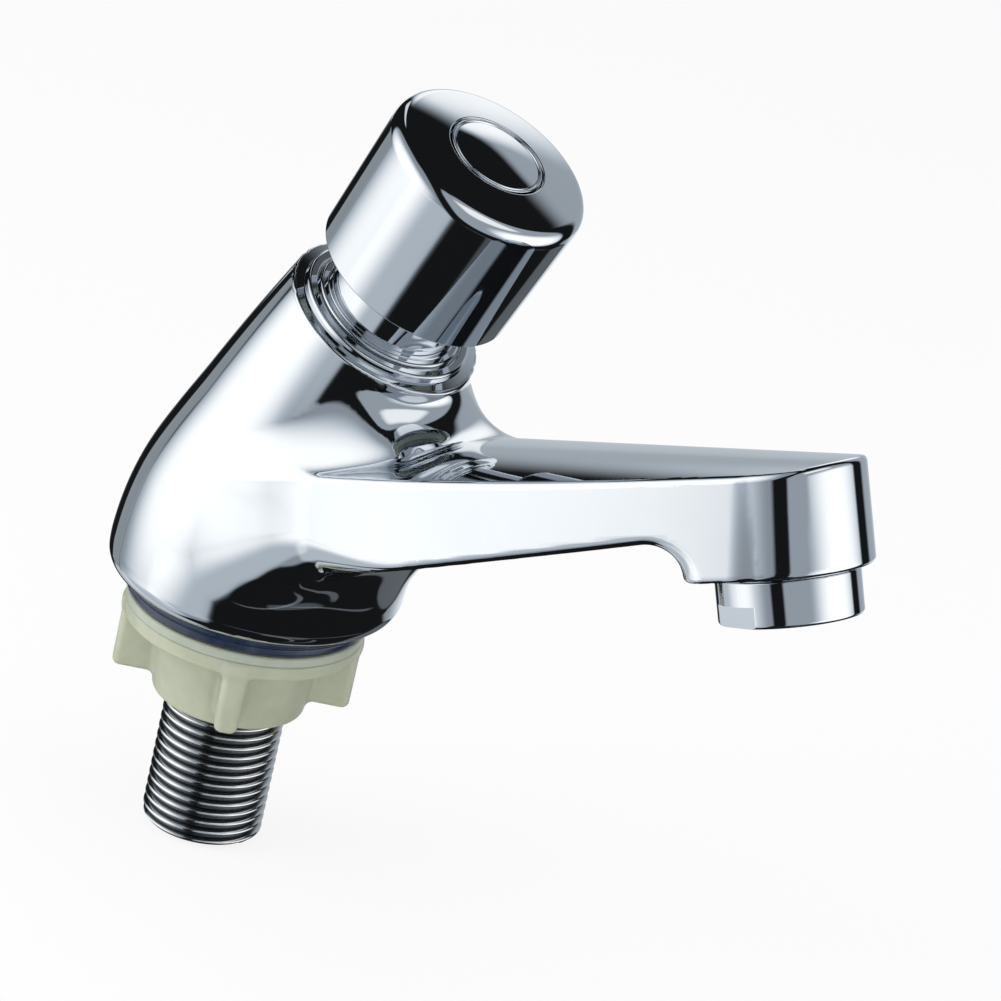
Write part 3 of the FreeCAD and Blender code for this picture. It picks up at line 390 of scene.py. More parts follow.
def column_field(points):
    t = np.clip((points[..., 2] - FOOT[2]) / (NECK[2] - FOOT[2]) * 0.9, 0, 1)
    for _ in range(6):
        at, ahead, bend = centre_line(t)
        away = points - at
        error = -(away * ahead).sum(-1)
        slope = (ahead * ahead).sum(-1) - (away * bend).sum(-1)
        t = np.clip(t - error / np.maximum(slope, 400.0), 0, 1)
    at, ahead, _ = centre_line(t)
    ahead = ahead / np.linalg.norm(ahead, axis=-1, keepdims=True)
    away = points - at
    away = away - (away * ahead).sum(-1, keepdims=True) * ahead
    return np.linalg.norm(away, axis=-1) - column_radius(t)

print("the foot's centre is", round(-float(column_field(FOOT[None])[0]), 2), "mm inside the column")

# %% [markdown]
# Seen from above, the spout is bounded by one long arc on each side and a flatter arc at the
# nose. From the side it has an almost straight underside that falls into the head with a
# round hollow, and its top is a shallow crown, part of a large cylinder. The nose's arc fades
# out behind the head's corner, so that it doesn't pull the flank in any further back, and the
# spout's root ends in a very soft round deep inside the column, where nobody sees it.

# %% Field of the spout
def arc_through(first, middle, last):
    """Centre and radius of the circle through three points."""
    (ax, ay), (bx, by), (cx, cy) = first, middle, last
    d = 2 * (ax * (by - cy) + bx * (cy - ay) + cx * (ay - by))
    a, b, c = ax * ax + ay * ay, bx * bx + by * by, cx * cx + cy * cy
    x = (a * (by - cy) + b * (cy - ay) + c * (ay - by)) / d
    y = (a * (cx - bx) + b * (ax - cx) + c * (bx - ax)) / d
    return x, y, math.hypot(ax - x, ay - y)

ROOT, CORNER, CORNER_HALF, NOSE = -94.0, 8.2, 11.2, 13.4
FLANK = arc_through((ROOT, 19.5), (-42.0, 19.2), (CORNER, CORNER_HALF))
EDGE_HEIGHT, HEAD_BOTTOM, CREST, CROWN, DROOP = 23.2, 7.5, 24.4, 60.0, math.radians(2.5)
HEAD_REAR, HEAD_WIDE, HEAD_ROUND, UNDER_FRONT, UNDER_RISE = -14.2, 18.0, 15.9, 13.6, 0.083
DRAFT, RAKE, CHEEK_ROUND, HOLLOW_ROUND, RIM_ROUND, UNDER_ROUND = 1.0, 1.4, 2.8, 5.9, 0.8, 1.6
ROOT_DEPTH, ROOT_ROUND = 16.0, 22.0


def spout_field(local):
    u, y, n = local[..., 0], np.abs(local[..., 1]), local[..., 2]
    lower = (EDGE_HEIGHT - n) / (EDGE_HEIGHT - HEAD_BOTTOM)
    flank = np.hypot(u - FLANK[0], y - DRAFT * lower - FLANK[1]) - FLANK[2]
    half, corner = CORNER_HALF + DRAFT * lower, CORNER - RAKE * lower
    depth = NOSE - corner
    radius = (half * half + depth * depth) / (2 * depth)
    middle = NOSE - radius
    back = np.maximum(middle + 5 - u, 0)
    nose = np.hypot(np.maximum(u - middle, 0), y) - radius - back * back / (back + 4)
    plan = cut(cut(flank, nose, CHEEK_ROUND), ROOT - ROOT_DEPTH - u, ROOT_ROUND)
    under = UNDER_FRONT + UNDER_RISE * (u - HEAD_REAR) - n
    side, rear = y - (HEAD_WIDE - HEAD_ROUND), HEAD_REAR + HEAD_ROUND - u
    head = np.minimum(np.maximum(side, rear), 0) - HEAD_ROUND
    head = head + np.hypot(np.maximum(side, 0), np.maximum(rear, 0))
    edge = UNDER_ROUND + 7.0 * soft_step((-60 - u) / 30)
    shell = cut(plan, join(under, head, HOLLOW_ROUND), edge)
    shell = cut(shell, HEAD_BOTTOM - n, RIM_ROUND)
    tall = (n - CREST + CROWN) * math.cos(DROOP) + (u - CORNER) * math.sin(DROOP)
    return cut(shell, np.hypot(y, tall) - CROWN, RIM_ROUND)

print("flank: an arc of radius", round(FLANK[2]), "mm")

# %% [markdown]
# The casting is the column and the spout joined, cut flat at the base and at the neck, with
# the chamber, the inlet and the outlet bored out of it. The join's width changes softly from
# place to place: widest on top of the spout, narrower out at its flanks, and narrower again
# just below the neck's rim. That gives the shoulder that catches the light.

# %% Field of the whole casting
def bore(local, radius, low, high):
    """Round hole along the third axis between two heights."""
    across = np.hypot(local[..., 0], local[..., 1]) - radius
    return np.maximum(np.maximum(across, low - local[..., 2]), local[..., 2] - high)


FOOT_ROUND, NECK_ROUND, NECK_REACH = 4.0, 0.4, 22.0


def join_width(spout, neck, off):
    """Radius of the fillet between column and spout, in millimetres."""
    above = soft_step((spout[..., 2] - 8.0) / 16.0)
    on_top = above * (4.0 - 7.0 * soft_step((off - 12.0) / 8.0))
    below = (1 - above) * 4.5 * (1 - soft_step(off / 16.0))
    return (10.0 + on_top + below) * (1 - 0.3 * soft_step((neck[..., 2] + 6.0) / 6.0))


def outside_field(points):
    spout, neck = spout_frame(points), neck_frame(points)
    reach = np.hypot(neck[..., 0], neck[..., 1])
    column = cut(column_field(points), neck[..., 2], NECK_ROUND)
    both = join(column, spout_field(spout), join_width(spout, neck, np.abs(points[..., 1])))
    both = cut(both, GASKET_TOP - points[..., 2], FOOT_ROUND)
    return cut(both, np.minimum(neck[..., 2], NECK_REACH - reach), NECK_ROUND)


# Radius, low end and high end of each bore: chamber and seat, shank and inlet, outlet and feed.
NECK_BORES = [(11.8, -34.0, 9.0), (8.6, -46.0, -30.0)]
INLET_BORES = [(10.53, -9.0, 16.6), (6.75, 0.0, 26.0)]
OUTLET_BORES = [(10.35, 0.0, 14.5), (6.8, 10.0, 21.6)]


def casting_field(points):
    frames = ((neck_frame(points), NECK_BORES), (points, INLET_BORES), (spout_frame(points), OUTLET_BORES))
    holes = [bore(local, *sizes) for local, bores in frames for sizes in bores]
    return np.maximum(outside_field(points), -np.minimum.reduce(holes))

print("casting field with", len(NECK_BORES + INLET_BORES + OUTLET_BORES), "bores")

# %% [markdown]
# Blender needs a mesh, so the field is sampled on a grid and a surface is drawn where it
# changes sign, one point for each grid cell that the surface crosses. The grid isn't square:
# its lines bend with the spout's flank, nose and crown, so the sharp edges of the metal run
# along rows of points and stay crisp. Each point then slides onto the exact surface, and the
# shading normals come from the field itself, which keeps the long reflections smooth.

# %% Draw a surface where a field changes sign
def net(field, places):
    """Points and quads of the surface on a grid of places."""
    inside = field < 0
    shape = [n - 1 for n in field.shape]
    corners = [(i, j, k) for i in (0, 1) for j in (0, 1) for k in (0, 1)]
    count = sum(inside[i:shape[0] + i, j:shape[1] + j, k:shape[2] + k].astype(np.int8) for i, j, k in corners)
    active = (count > 0) & (count < 8)
    number = np.full(active.shape, -1)
    number[active] = np.arange(active.sum())
    cells = np.array(np.nonzero(active))
    total, crossings = np.zeros((cells.shape[1], 3)), np.zeros(cells.shape[1])
    for corner in corners:
        for axis in range(3):
            if corner[axis]:
                continue
            near = tuple(cells + np.array(corner)[:, None])
            step = np.array(corner) + np.eye(3, dtype=int)[axis]
            far = tuple(cells + step[:, None])
            a, b = field[near], field[far]
            crossed = (a < 0) != (b < 0)
            share = np.where(crossed, a / np.where(crossed, a - b, 1), 0)[:, None]
            total += np.where(crossed[:, None], places[near] + (places[far] - places[near]) * share, 0)
            crossings += crossed
    quads = []
    for axis in range(3):
        first = np.take(inside, np.arange(field.shape[axis] - 1), axis)
        second = np.take(inside, np.arange(1, field.shape[axis]), axis)
        edge = np.argwhere(first != second)
        b, c = [k for k in range(3) if k != axis]
        edge = edge[(edge[:, b] > 0) & (edge[:, c] > 0) & (edge[:, b] < field.shape[b] - 1)
                    & (edge[:, c] < field.shape[c] - 1)]
        forward = first[tuple(edge.T)] != (axis == 1)
        ring = []
        for db, dc in ((1, 1), (0, 1), (0, 0), (1, 0)):
            cell = edge.copy()
            cell[:, b] -= db
            cell[:, c] -= dc
            ring.append(number[tuple(cell.T)])
        quad = np.stack(ring, 1)
        quad[~forward] = quad[~forward][:, ::-1]
        quads.append(quad)
    return total / crossings[:, None], np.concatenate(quads)


def slope_of(field, points, step=0.02):
    slope = np.empty_like(points)
    for axis in range(3):
        nudge = np.zeros(3)
        nudge[axis] = step
        slope[:, axis] = (field(points + nudge) - field(points - nudge)) / (2 * step)
    return slope


def settle(field, points, rounds=3, reach=0.5):
    """Slide points along the field's slope onto its zero."""
    for _ in range(rounds):
        value, slope = field(points), slope_of(field, points)
        move = (value / np.maximum((slope * slope).sum(1), 0.05))[:, None] * slope
        size = np.linalg.norm(move, axis=1, keepdims=True)
        points = points - move * np.minimum(1, reach / np.maximum(size, 1e-9))
    return points

print("net, slope_of and settle ready")

# %% Grid that bends with the spout
NOSE_BOW, MEAN_HALF = 14.66, 12.2


def spout_grid():
    along = np.concatenate([np.arange(-140, -70, 1.15), np.arange(-70, -20, 1.0), np.arange(-20, 15.6, 0.5)])
    half = np.concatenate([np.arange(0.5, 10, 1.0), np.arange(10, 13.6, 0.45), np.arange(13.8, 30, 1.0)])
    across = np.concatenate([-half[::-1], half])
    height = np.concatenate([np.arange(-12, 6, 1.0), np.arange(6, 10, 0.5), np.arange(10, 20, 0.8),
                             np.arange(20, 26, 0.4), np.arange(26, 64, 1.0)])
    u, y, n = np.meshgrid(along, across, height, indexing="ij")
    share = soft_step((u + 85) / 35)
    wide = FLANK[1] + np.sqrt(FLANK[2] ** 2 - (np.clip(u, -60, CORNER) - FLANK[0]) ** 2)
    y = y * (1 + (wide / MEAN_HALF - 1) * share)
    y_top = np.clip(y, -24, 24)
    crown = CREST - CROWN + np.sqrt(CROWN ** 2 - y_top ** 2) - (u - CORNER) * math.tan(DROOP)
    lift = soft_step((n - 15) / 7) * (1 - soft_step((n - 27) / 10))
    n = n + (crown - CREST) * lift * share
    bow = NOSE_BOW - np.sqrt(NOSE_BOW ** 2 - np.clip(y, -13, 13) ** 2)
    u = u - bow * soft_step((u + 16) / 26)
    return from_spout(np.stack([u, y, n], -1))

places = spout_grid()
points, quads = net(casting_field(places), places)
points = settle(casting_field, points)
print("casting:", len(points), "points,", len(quads), "quads, off by",
      round(float(np.abs(casting_field(points)).max()), 4), "mm")

# %% [markdown]
# Two helpers serve every piece from here on. One turns points and faces into an object, and
# the other tells the frame where the piece belongs.

# %% Turn points into a mesh object
def mesh_object(name, points, faces, finish, normals=None):
    """Object at the origin, in metres, smooth, with its own normals where they are given."""
    mesh = bpy.data.meshes.new(name)
    mesh.from_pydata((np.asarray(points) * MM).tolist(), [], [list(map(int, f)) for f in faces])
    mesh.update()
    mesh.polygons.foreach_set("use_smooth", [True] * len(mesh.polygons))
    if normals is not None:
        mesh.normals_split_custom_set_from_vertices([tuple(n) for n in normals])
    mesh.materials.append(finish)
    piece = bpy.data.objects.new(name, mesh)
    bpy.context.scene.collection.objects.link(piece)
    return piece


def put_on(piece, body, replaced):
    """Hang a piece on the empty of the body it rides on and hide the solids it stands for."""
    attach(piece, body)
    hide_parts(*replaced)
    print(piece.name, len(piece.data.polygons), "faces on", body)

print("mesh_object and put_on ready")

# %% [markdown]
# The foot of the column curves in tightly above the gasket, where the grid is too coarse for
# a mirror. So the mesh is cut off above the foot, and fine rows of points are drawn from the
# cut down to the flat bottom and settled on the field.

# %% Draw the foot of the casting again in fine rows
FOOT_CUT = 9.3


def cut_near(shell, chosen, place, way):
    """Cut away what stands on one side of a plane, but only near the chosen points."""
    geometry = {f for v in chosen for f in v.link_faces}
    geometry |= {e for f in geometry for e in f.edges} | {v for f in geometry for v in f.verts}
    bmesh.ops.bisect_plane(shell, geom=list(geometry), dist=1e-5, plane_co=place, plane_no=way, clear_outer=True)
    return [e for e in shell.edges if e.is_boundary]


def wall(shell, rows):
    """Faces between rows of points that go round."""
    for low, high in zip(rows, rows[1:]):
        for i in range(len(low)):
            j = (i + 1) % len(low)
            shell.faces.new([low[i], low[j], high[j], high[i]])


def draw_foot(shell):
    chosen = [v for v in shell.verts if v.co.z < 13 and math.hypot(v.co.x, v.co.y) < 36]
    edges = cut_near(shell, chosen, Vector((0, 0, FOOT_CUT)), Vector((0, 0, -1)))
    outer = {v for e in edges for v in e.verts if math.hypot(v.co.x, v.co.y) > 14}
    inner = {v for e in edges for v in e.verts} - outer
    outer, inner = [sorted(ring, key=lambda v: math.atan2(v.co.y, v.co.x)) for ring in (outer, inner)]
    start = np.array([v.co[:] for v in outer])
    reach = np.hypot(start[:, 0], start[:, 1])
    steps = [(0, h) for h in (0.7, 1.4, 2.0, 2.5)]
    steps += [(1 - math.cos(t), 2.5 + FOOT_ROUND * math.sin(t)) for t in np.radians(range(6, 91, 6))]
    rows = [outer]
    for inset, drop in steps:
        scale = (1 - FOOT_ROUND * inset / reach)[:, None]
        row = np.concatenate([start[:, :2] * scale, start[:, 2:] - drop], 1)
        rows.append([shell.verts.new(p) for p in settle(casting_field, row, 5)])
    bottom = [shell.verts.new((v.co.x, v.co.y, GASKET_TOP)) for v in inner]
    wall(shell, rows)
    wall(shell, [bottom, inner])
    for row in (rows[-1], bottom):
        for v in row:
            v.co.z = GASKET_TOP
    lid = [shell.edges.get((row[i - 1], row[i])) for row in (rows[-1], bottom) for i in range(len(row))]
    bmesh.ops.triangle_fill(shell, edges=lid, use_beauty=True, normal=Vector((0, 0, -1)))

print("foot is cut at", FOOT_CUT, "mm")

# %% [markdown]
# The neck's rim is a thin bright line that everyone sees, and the grid crosses it at a
# slant. So the mesh is cut a little below the rim, and clean rings are drawn from the cut
# up over the rounded edge and inwards to the bore.

# %% Cut the casting below the rim and draw the rim
RIM_CUT, RIM_EDGE = 0.7, 0.45
RIM_TURNS = (0, 18, 36, 54, 72, 90)


def casting_with_rim(points, quads):
    shell = bmesh.new()
    verts = [shell.verts.new(p) for p in points]
    for quad in quads:
        shell.faces.new([verts[i] for i in quad])
    draw_foot(shell)
    up = Vector((SIN, 0, COS))
    shell.verts.ensure_lookup_table()
    local = neck_frame(np.array([v.co[:] for v in shell.verts]))
    near = (np.hypot(local[:, 0], local[:, 1]) < 21) & (local[:, 2] > -6)
    chosen = [shell.verts[i] for i in np.nonzero(near)[0]]
    open_edges = cut_near(shell, chosen, Vector(NECK) - up * RIM_CUT, up)
    outer, inner = [], []
    for edge in open_edges:
        local = neck_frame(np.array([v.co[:] for v in edge.verts]))
        (outer if np.hypot(local[:, 0], local[:, 1]).min() > 14 else inner).append(edge)
    ring = {v for e in outer for v in e.verts}
    local = {v: neck_frame(np.array(v.co[:])) for v in ring}
    ring = sorted(ring, key=lambda v: math.atan2(local[v][1], local[v][0]))
    rows = [ring]
    for turn in np.radians(RIM_TURNS):
        row = []
        for v in ring:
            x, y, _ = local[v]
            inset = RIM_EDGE * (1 - math.cos(turn))
            scale = 1 - inset / math.hypot(x, y)
            row.append(np.array([x * scale, y * scale, RIM_EDGE * (math.sin(turn) - 1)]))
        rows.append([shell.verts.new(from_neck(p)) for p in row])
    wall(shell, rows)
    last = rows[-1]
    lid = [shell.edges.get((last[i], last[(i + 1) % len(last)])) for i in range(len(last))]
    bmesh.ops.triangle_fill(shell, edges=lid + inner, use_beauty=True, normal=up)
    bmesh.ops.recalc_face_normals(shell, faces=shell.faces[:])
    places = np.array([v.co[:] for v in shell.verts])
    shell.verts.index_update()
    faces = [[v.index for v in f.verts] for f in shell.faces]
    open_left = sum(e.is_boundary for e in shell.edges)
    own = {v.index: k for k, row in enumerate(rows[1:]) for v in row}
    shell.free()
    return places, faces, own, open_left

places, faces, rim_rows, open_left = casting_with_rim(points, quads)
slopes = slope_of(casting_field, places)
normals = slopes / np.maximum(np.linalg.norm(slopes, axis=1, keepdims=True), 1e-9)
for index, row in rim_rows.items():
    local = neck_frame(places[index])
    turn = math.radians(RIM_TURNS[row])
    flat = np.array([local[0], local[1]]) / math.hypot(local[0], local[1])
    lean = np.array([flat[0] * math.cos(turn), flat[1] * math.cos(turn), math.sin(turn)])
    normals[index] = from_neck(lean) - NECK
casting = mesh_object("casting", places, faces, finishes["chrome"], normals)
put_on(casting, "tap", ["body"])
print("open edges left:", open_left)

# %% [markdown]
# The button, rings, bonnet, gasket and washer are turned parts. A lathe does the same in
# code: it takes corners as radius and height, rounds each one by its own radius, and spins
# the line round the axis. The normals are worked out with the profile, so that the polished
# ends and edges reflect without facets.

# %% A lathe
def rounded_profile(corners):
    """Points and normals of a closed line of (radius, height, round) corners."""
    line = []
    count = len(corners)
    for i in range(count):
        before, here, after = (np.array(corners[(i + k) % count][:2], float) for k in (-1, 0, 1))
        radius = corners[i][2]
        a, b = before - here, after - here
        a, b = a / np.linalg.norm(a), b / np.linalg.norm(b)
        normal_in, normal_out = np.array([-a[1], a[0]]), np.array([b[1], -b[0]])
        if radius <= 0:
            line += [(here, normal_in), (here, normal_out)]
            continue
        half = math.acos(np.clip(a @ b, -1, 1)) / 2
        reach = radius / math.tan(half)
        start = here + a * reach
        sweep = math.pi - 2 * half
        bend = 1.0 if a[0] * b[1] - a[1] * b[0] < 0 else -1.0
        middle = start - normal_in * radius * bend
        steps = max(4, int(math.degrees(sweep) / 9))
        for s in range(steps + 1):
            turn = sweep * s / steps * bend
            c, k = math.cos(turn), math.sin(turn)
            n = np.array([normal_in[0] * c - normal_in[1] * k, normal_in[0] * k + normal_in[1] * c])
            line.append((middle + n * radius * bend, n))
    return line


def turned(name, corners, finish, place, around=192):
    """Closed ring or disc turned from its corners and moved into place."""
    line = rounded_profile(corners)
    angles = np.linspace(0, 2 * math.pi, around, endpoint=False)
    places, normals, faces = [], [], []
    for (radius, height), (nr, nh) in line:
        for angle in angles:
            places.append([radius * math.cos(angle), radius * math.sin(angle), height])
            normals.append([nr * math.cos(angle), nr * math.sin(angle), nh])
    rows = len(line)
    for i in range(rows):
        j = (i + 1) % rows
        if np.allclose(line[i][0], line[j][0]):
            continue
        if line[i][0][0] < 1e-6 and line[j][0][0] < 1e-6:
            continue
        for a in range(around):
            b = (a + 1) % around
            face = [i * around + a, i * around + b, j * around + b, j * around + a]
            if line[i][0][0] < 1e-6:
                face = [i * around + a, j * around + b, j * around + a]
            if line[j][0][0] < 1e-6:
                face = [i * around + a, i * around + b, j * around + a]
            faces.append(face)
    places = place(np.array(places))
    normals = place(np.array(normals)) - place(np.zeros((1, 3)))
    return mesh_object(name, places, faces, finish, normals)

print("lathe ready")

# %% [markdown]
# The corners run anticlockwise as seen with the radius to the right and the height up, so
# the outside is always on the same hand. The trim ring is almost flat, with a low rim on its
# inner side, and the bonnet has a small step inside it. Together they draw the thin bright
# and dark bands round the neck.

# %% Trim ring and bonnet
chrome = finishes["chrome"]
TRIM = [(11.8, 0, 0), (16.5, 0, 0), (15.0, 0.1, 0.05), (14.8, 1.3, 0.55), (13.2, 1.3, 0.3), (13.1, 0.9, 0.1),
        (11.8, 0.9, 0)]
trim = turned("trim_band", TRIM, chrome, from_neck, 256)
put_on(trim, "tap", ["trim_ring"])

BONNET = [(3.08, -7, 0), (11.75, -7, 0.3), (11.75, -2.7, 0), (10.4, -2.7, 0), (10.4, -0.9, 0), (11.75, -0.9, 0),
          (11.75, 0.9, 0), (12.8, 0.9, 0.0), (12.8, 1.85, 0.45), (11.5, 1.85, 0.2), (11.5, 17, 0.4), (9.3, 17, 0.3),
          (9.3, 0.5, 0), (5.05, 0.5, 0), (5.05, -4.5, 0), (3.08, -4.5, 0)]
bonnet = turned("bonnet_sleeve", BONNET, chrome, from_neck, 256)
put_on(bonnet, "tap", ["bonnet"])

# %% [markdown]
# The button is a deep cup with a soft rim and a shallow domed top. The dome is part of a
# large sphere: a single corner with a very large round, between two short slopes that meet
# it smoothly. A small domed disc closes the screw pocket, with a fine groove round it.

# %% Button and its disc
def dome(crown, sphere, inner, outer):
    """One wide round between two radii of a sphere, with a corner on the same slope at each end."""
    low, high = math.asin(outer / sphere), math.asin(inner / sphere)
    middle, reach = (low + high) / 2, sphere / math.cos((low - high) / 2)
    floor = crown - sphere
    top = (reach * math.sin(middle), floor + reach * math.cos(middle), sphere * 0.999)
    return lambda r: floor + sphere * math.cos(low) - (r - outer) * math.tan(low), top

cap_slope, cap_top = dome(37.5, 80.6, 8.9, 14.6)
CAP = [(15.03, 10.5, 0.2), (16.8, 10.5, 0.35), (17.4, cap_slope(17.4), 2.6), cap_top]
CAP += [(8.55, 37.05, 0.25), (8.3, 36.6, 0.05), (8.3, 34.9, 0), (3.8, 34.9, 0), (3.8, 32, 0), (2.25, 32, 0),
        (2.25, 29.85, 0), (3.05, 29.85, 0), (3.05, 12, 0), (5.4, 12, 0.3), (5.4, 32.6, 0.6), (15.6, 32.6, 1.0)]
cap = turned("button", CAP, chrome, from_neck, 256)
put_on(cap, "button", ["button_cap"])

disc_slope, disc_top = dome(37.95, 30.0, 0.0, 6.9)
DISC = [(0, 34.9, 0), (8.1, 34.9, 0), (8.1, 37.12, 0.16), (7.72, 37.12, 0.14), (7.55, 36.8, 0.08)]
DISC += [(7.38, disc_slope(7.38), 0.14), disc_top, (0, 37.95, 0)]
disc = turned("button_disc", DISC, chrome, from_neck, 160)
put_on(disc, "button", ["index_disc"])

# %% [markdown]
# Under the base sit a moulded rubber gasket and a plastic slip washer. Both are plain rings,
# but their rounded edges catch a line of light that a sharp edge would lose, and the gasket
# has a fine groove round its middle where the halves of its mould met.

# %% Gasket and slip washer
def straight(points): return points

GASKET_RING = [(10.78, 0, 0), (20.8, 0, 0.5), (20.8, 1.25, 0.35), (20.45, 1.5, 0.1), (20.8, 1.75, 0.35),
               (20.8, 2.8, 0.6), (10.78, 2.8, 0)]
gasket = turned("base_ring", GASKET_RING, finishes["blue_rubber"], straight, 256)
put_on(gasket, "tap", ["base_gasket"])
washer = turned("slip_ring", [(10.78, -2, 0), (20.6, -2, 0.1), (20.6, -0.4, 0.5), (10.78, -0.4, 0)],
                finishes["white_plastic"], straight, 256)
put_on(washer, "washer", ["slip_washer"])

# %% [markdown]
# Inside the neck a return spring shortens when the button goes down. A rigid solid cannot do
# that. The spring is drawn again here as one coil of wire, at its full length.

# %% Return spring
COIL_REACH, WIRE, COIL_TURNS, COIL_LOW, COIL_HIGH, TRAVEL = 6.4, 0.45, 4, -20.35, -11.65, 6.0


def coil_of_wire(steps=48, sides=12):
    angles = np.linspace(0, 2 * math.pi * COIL_TURNS, steps * COIL_TURNS + 1)
    around = np.linspace(0, 2 * math.pi, sides, endpoint=False)
    places = []
    for angle, height in zip(angles, np.linspace(COIL_LOW, COIL_HIGH, len(angles))):
        away = np.array([math.cos(angle), math.sin(angle), 0.0])
        for turn in around:
            side = away * math.cos(turn) + np.array([0, 0, math.sin(turn)])
            places.append(away * COIL_REACH + np.array([0, 0, height]) + side * WIRE)
    faces = [[k + i, k + i + sides, k + (i + 1) % sides + sides, k + (i + 1) % sides]
             for k in range(0, len(places) - sides, sides) for i in range(sides)]
    faces += [list(range(sides)), list(range(len(places) - 1, len(places) - sides - 1, -1))]
    return from_neck(np.array(places)), faces

places, faces = coil_of_wire()
spring = mesh_object("return_coil", places, faces, finishes["stainless"])
put_on(spring, "tap", ["return_spring"])
foot = from_neck(np.array([0.0, 0.0, COIL_LOW - WIRE])) * MM
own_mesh(spring)

# %% [markdown]
# The outlet's housing is a turned sleeve with two flats for a spanner. The flats are made by
# pulling the points that stand outside each flat back onto its plane, up to its height.

# %% Outlet housing with its flats
HOUSING = [(7.6, 0, 0.2), (11.25, 0, 0.6), (11.25, 3.39, 0), (11.25, 3.41, 0), (11.25, 7.2, 0.3), (10.3, 7.2, 0),
           (10.3, 12.9, 0.3), (8.9, 12.9, 0.2), (8.9, 1.4, 0), (7.6, 1.4, 0.2)]
FLAT_DISTANCE, FLAT_HEIGHT, FLAT_TURN = 10.3, 3.4, math.radians(-105.0)
housing = turned("outlet_housing", HOUSING, chrome, from_spout, 360)


def press_flats(piece):
    places = np.array([v.co[:] for v in piece.data.vertices]) / MM
    normals = np.array([n.vector[:] for n in piece.data.vertex_normals])
    local = spout_frame(places)
    for sign in (1, -1):
        way = np.array([math.cos(FLAT_TURN), math.sin(FLAT_TURN), 0]) * sign
        beyond = (local @ way > FLAT_DISTANCE) & (local[:, 2] < FLAT_HEIGHT)
        local[beyond] -= ((local[beyond] @ way) - FLAT_DISTANCE)[:, None] * way
        normals[beyond] = from_spout(way) - OUTLET
    for vertex, place in zip(piece.data.vertices, from_spout(local) * MM):
        vertex.co = place
    piece.data.normals_split_custom_set_from_vertices([tuple(n) for n in normals])

press_flats(housing)
put_on(housing, "tap", ["aerator_housing"])

# %% [markdown]
# The shank's thread follows a rule, so Geometry Nodes cut it: a long thin grid is wound
# round the axis, one pitch for each turn, and its radius rises and falls across the grid as
# the thread's profile. Neighbouring turns share their edge points, which are then merged.

# %% Thread made with Geometry Nodes
THREAD = {"Crest radius": 10.4775 * MM, "Root radius": 9.316 * MM, "Pitch": 1.814 * MM,
          "Bottom": -42.0 * MM, "Top": 12.3 * MM, "Lead in": 0.8 * MM}


def thread_tree(turns, around):
    tree = bpy.data.node_groups.new("wound_thread", "GeometryNodeTree")
    for name in THREAD:
        tree.interface.new_socket(name, in_out="INPUT", socket_type="NodeSocketFloat")
    tree.interface.new_socket("Finish", in_out="INPUT", socket_type="NodeSocketMaterial")
    tree.interface.new_socket("Geometry", in_out="OUTPUT", socket_type="NodeSocketGeometry")
    bench = Bench(tree)
    sizes = bench.node("NodeGroupInput")
    crest, root, pitch = (sizes.other(n) for n in ("Crest radius", "Root radius", "Pitch"))
    low, high, lead = (sizes.other(n) for n in ("Bottom", "Top", "Lead in"))
    ribbon = bench.node("GeometryNodeMeshGrid", {}, {"Size X": 1.0, "Size Y": 1.0,
                        "Vertices X": turns * around + 1, "Vertices Y": 13})
    flat = bench.node("ShaderNodeSeparateXYZ", {}, {0: bench.node("GeometryNodeInputPosition")})
    wound, share = (flat + 0.5) * float(turns), flat.other("Y") + 0.5
    angle = wound * (2 * math.pi)
    height = (wound + share - 1.0) * pitch + low
    height = height.math("MAXIMUM", low).math("MINIMUM", high)
    hill = (1.0 - ((share * 2.0 - 1.0).math("ABSOLUTE")) - 0.13) / 0.72
    hill = bench.rise(hill, 0.0, 1.0)
    radius = (root + (crest - root) * hill).math("MINIMUM", (height - low) + (crest - lead))
    place = bench.node("ShaderNodeCombineXYZ", {}, {"X": radius * angle.math("COSINE"),
                       "Y": radius * angle.math("SINE"), "Z": height})
    shaped = bench.node("GeometryNodeSetPosition", {}, {"Geometry": ribbon, "Position": place})
    merged = bench.node("GeometryNodeMergeByDistance", {}, {"Geometry": shaped, "Distance": 0.000004})
    smooth = bench.node("GeometryNodeSetShadeSmooth", {}, {"Geometry": merged})
    real = bench.node("GeometryNodeRealizeInstances", {}, {"Geometry": smooth})
    dressed = bench.node("GeometryNodeSetMaterial", {}, {"Geometry": real, "Material": sizes.other("Finish")})
    bench.node("NodeGroupOutput", {}, {"Geometry": dressed})
    return tree


def grown(name, tree, inputs):
    """Run a Geometry Nodes tree on an empty mesh and keep the plain mesh that it makes."""
    holder = bpy.data.objects.new(name, bpy.data.meshes.new(name))
    bpy.context.scene.collection.objects.link(holder)
    modifier = holder.modifiers.new("grow", "NODES")
    modifier.node_group = tree
    for socket in tree.interface.items_tree:
        if socket.in_out == "INPUT" and socket.name in inputs:
            modifier[socket.identifier] = inputs[socket.name]
    bpy.context.view_layer.update()
    ready = holder.evaluated_get(bpy.context.evaluated_depsgraph_get())
    mesh = bpy.data.meshes.new_from_object(ready)
    holder.modifiers.remove(modifier)
    holder.data = mesh
    return holder

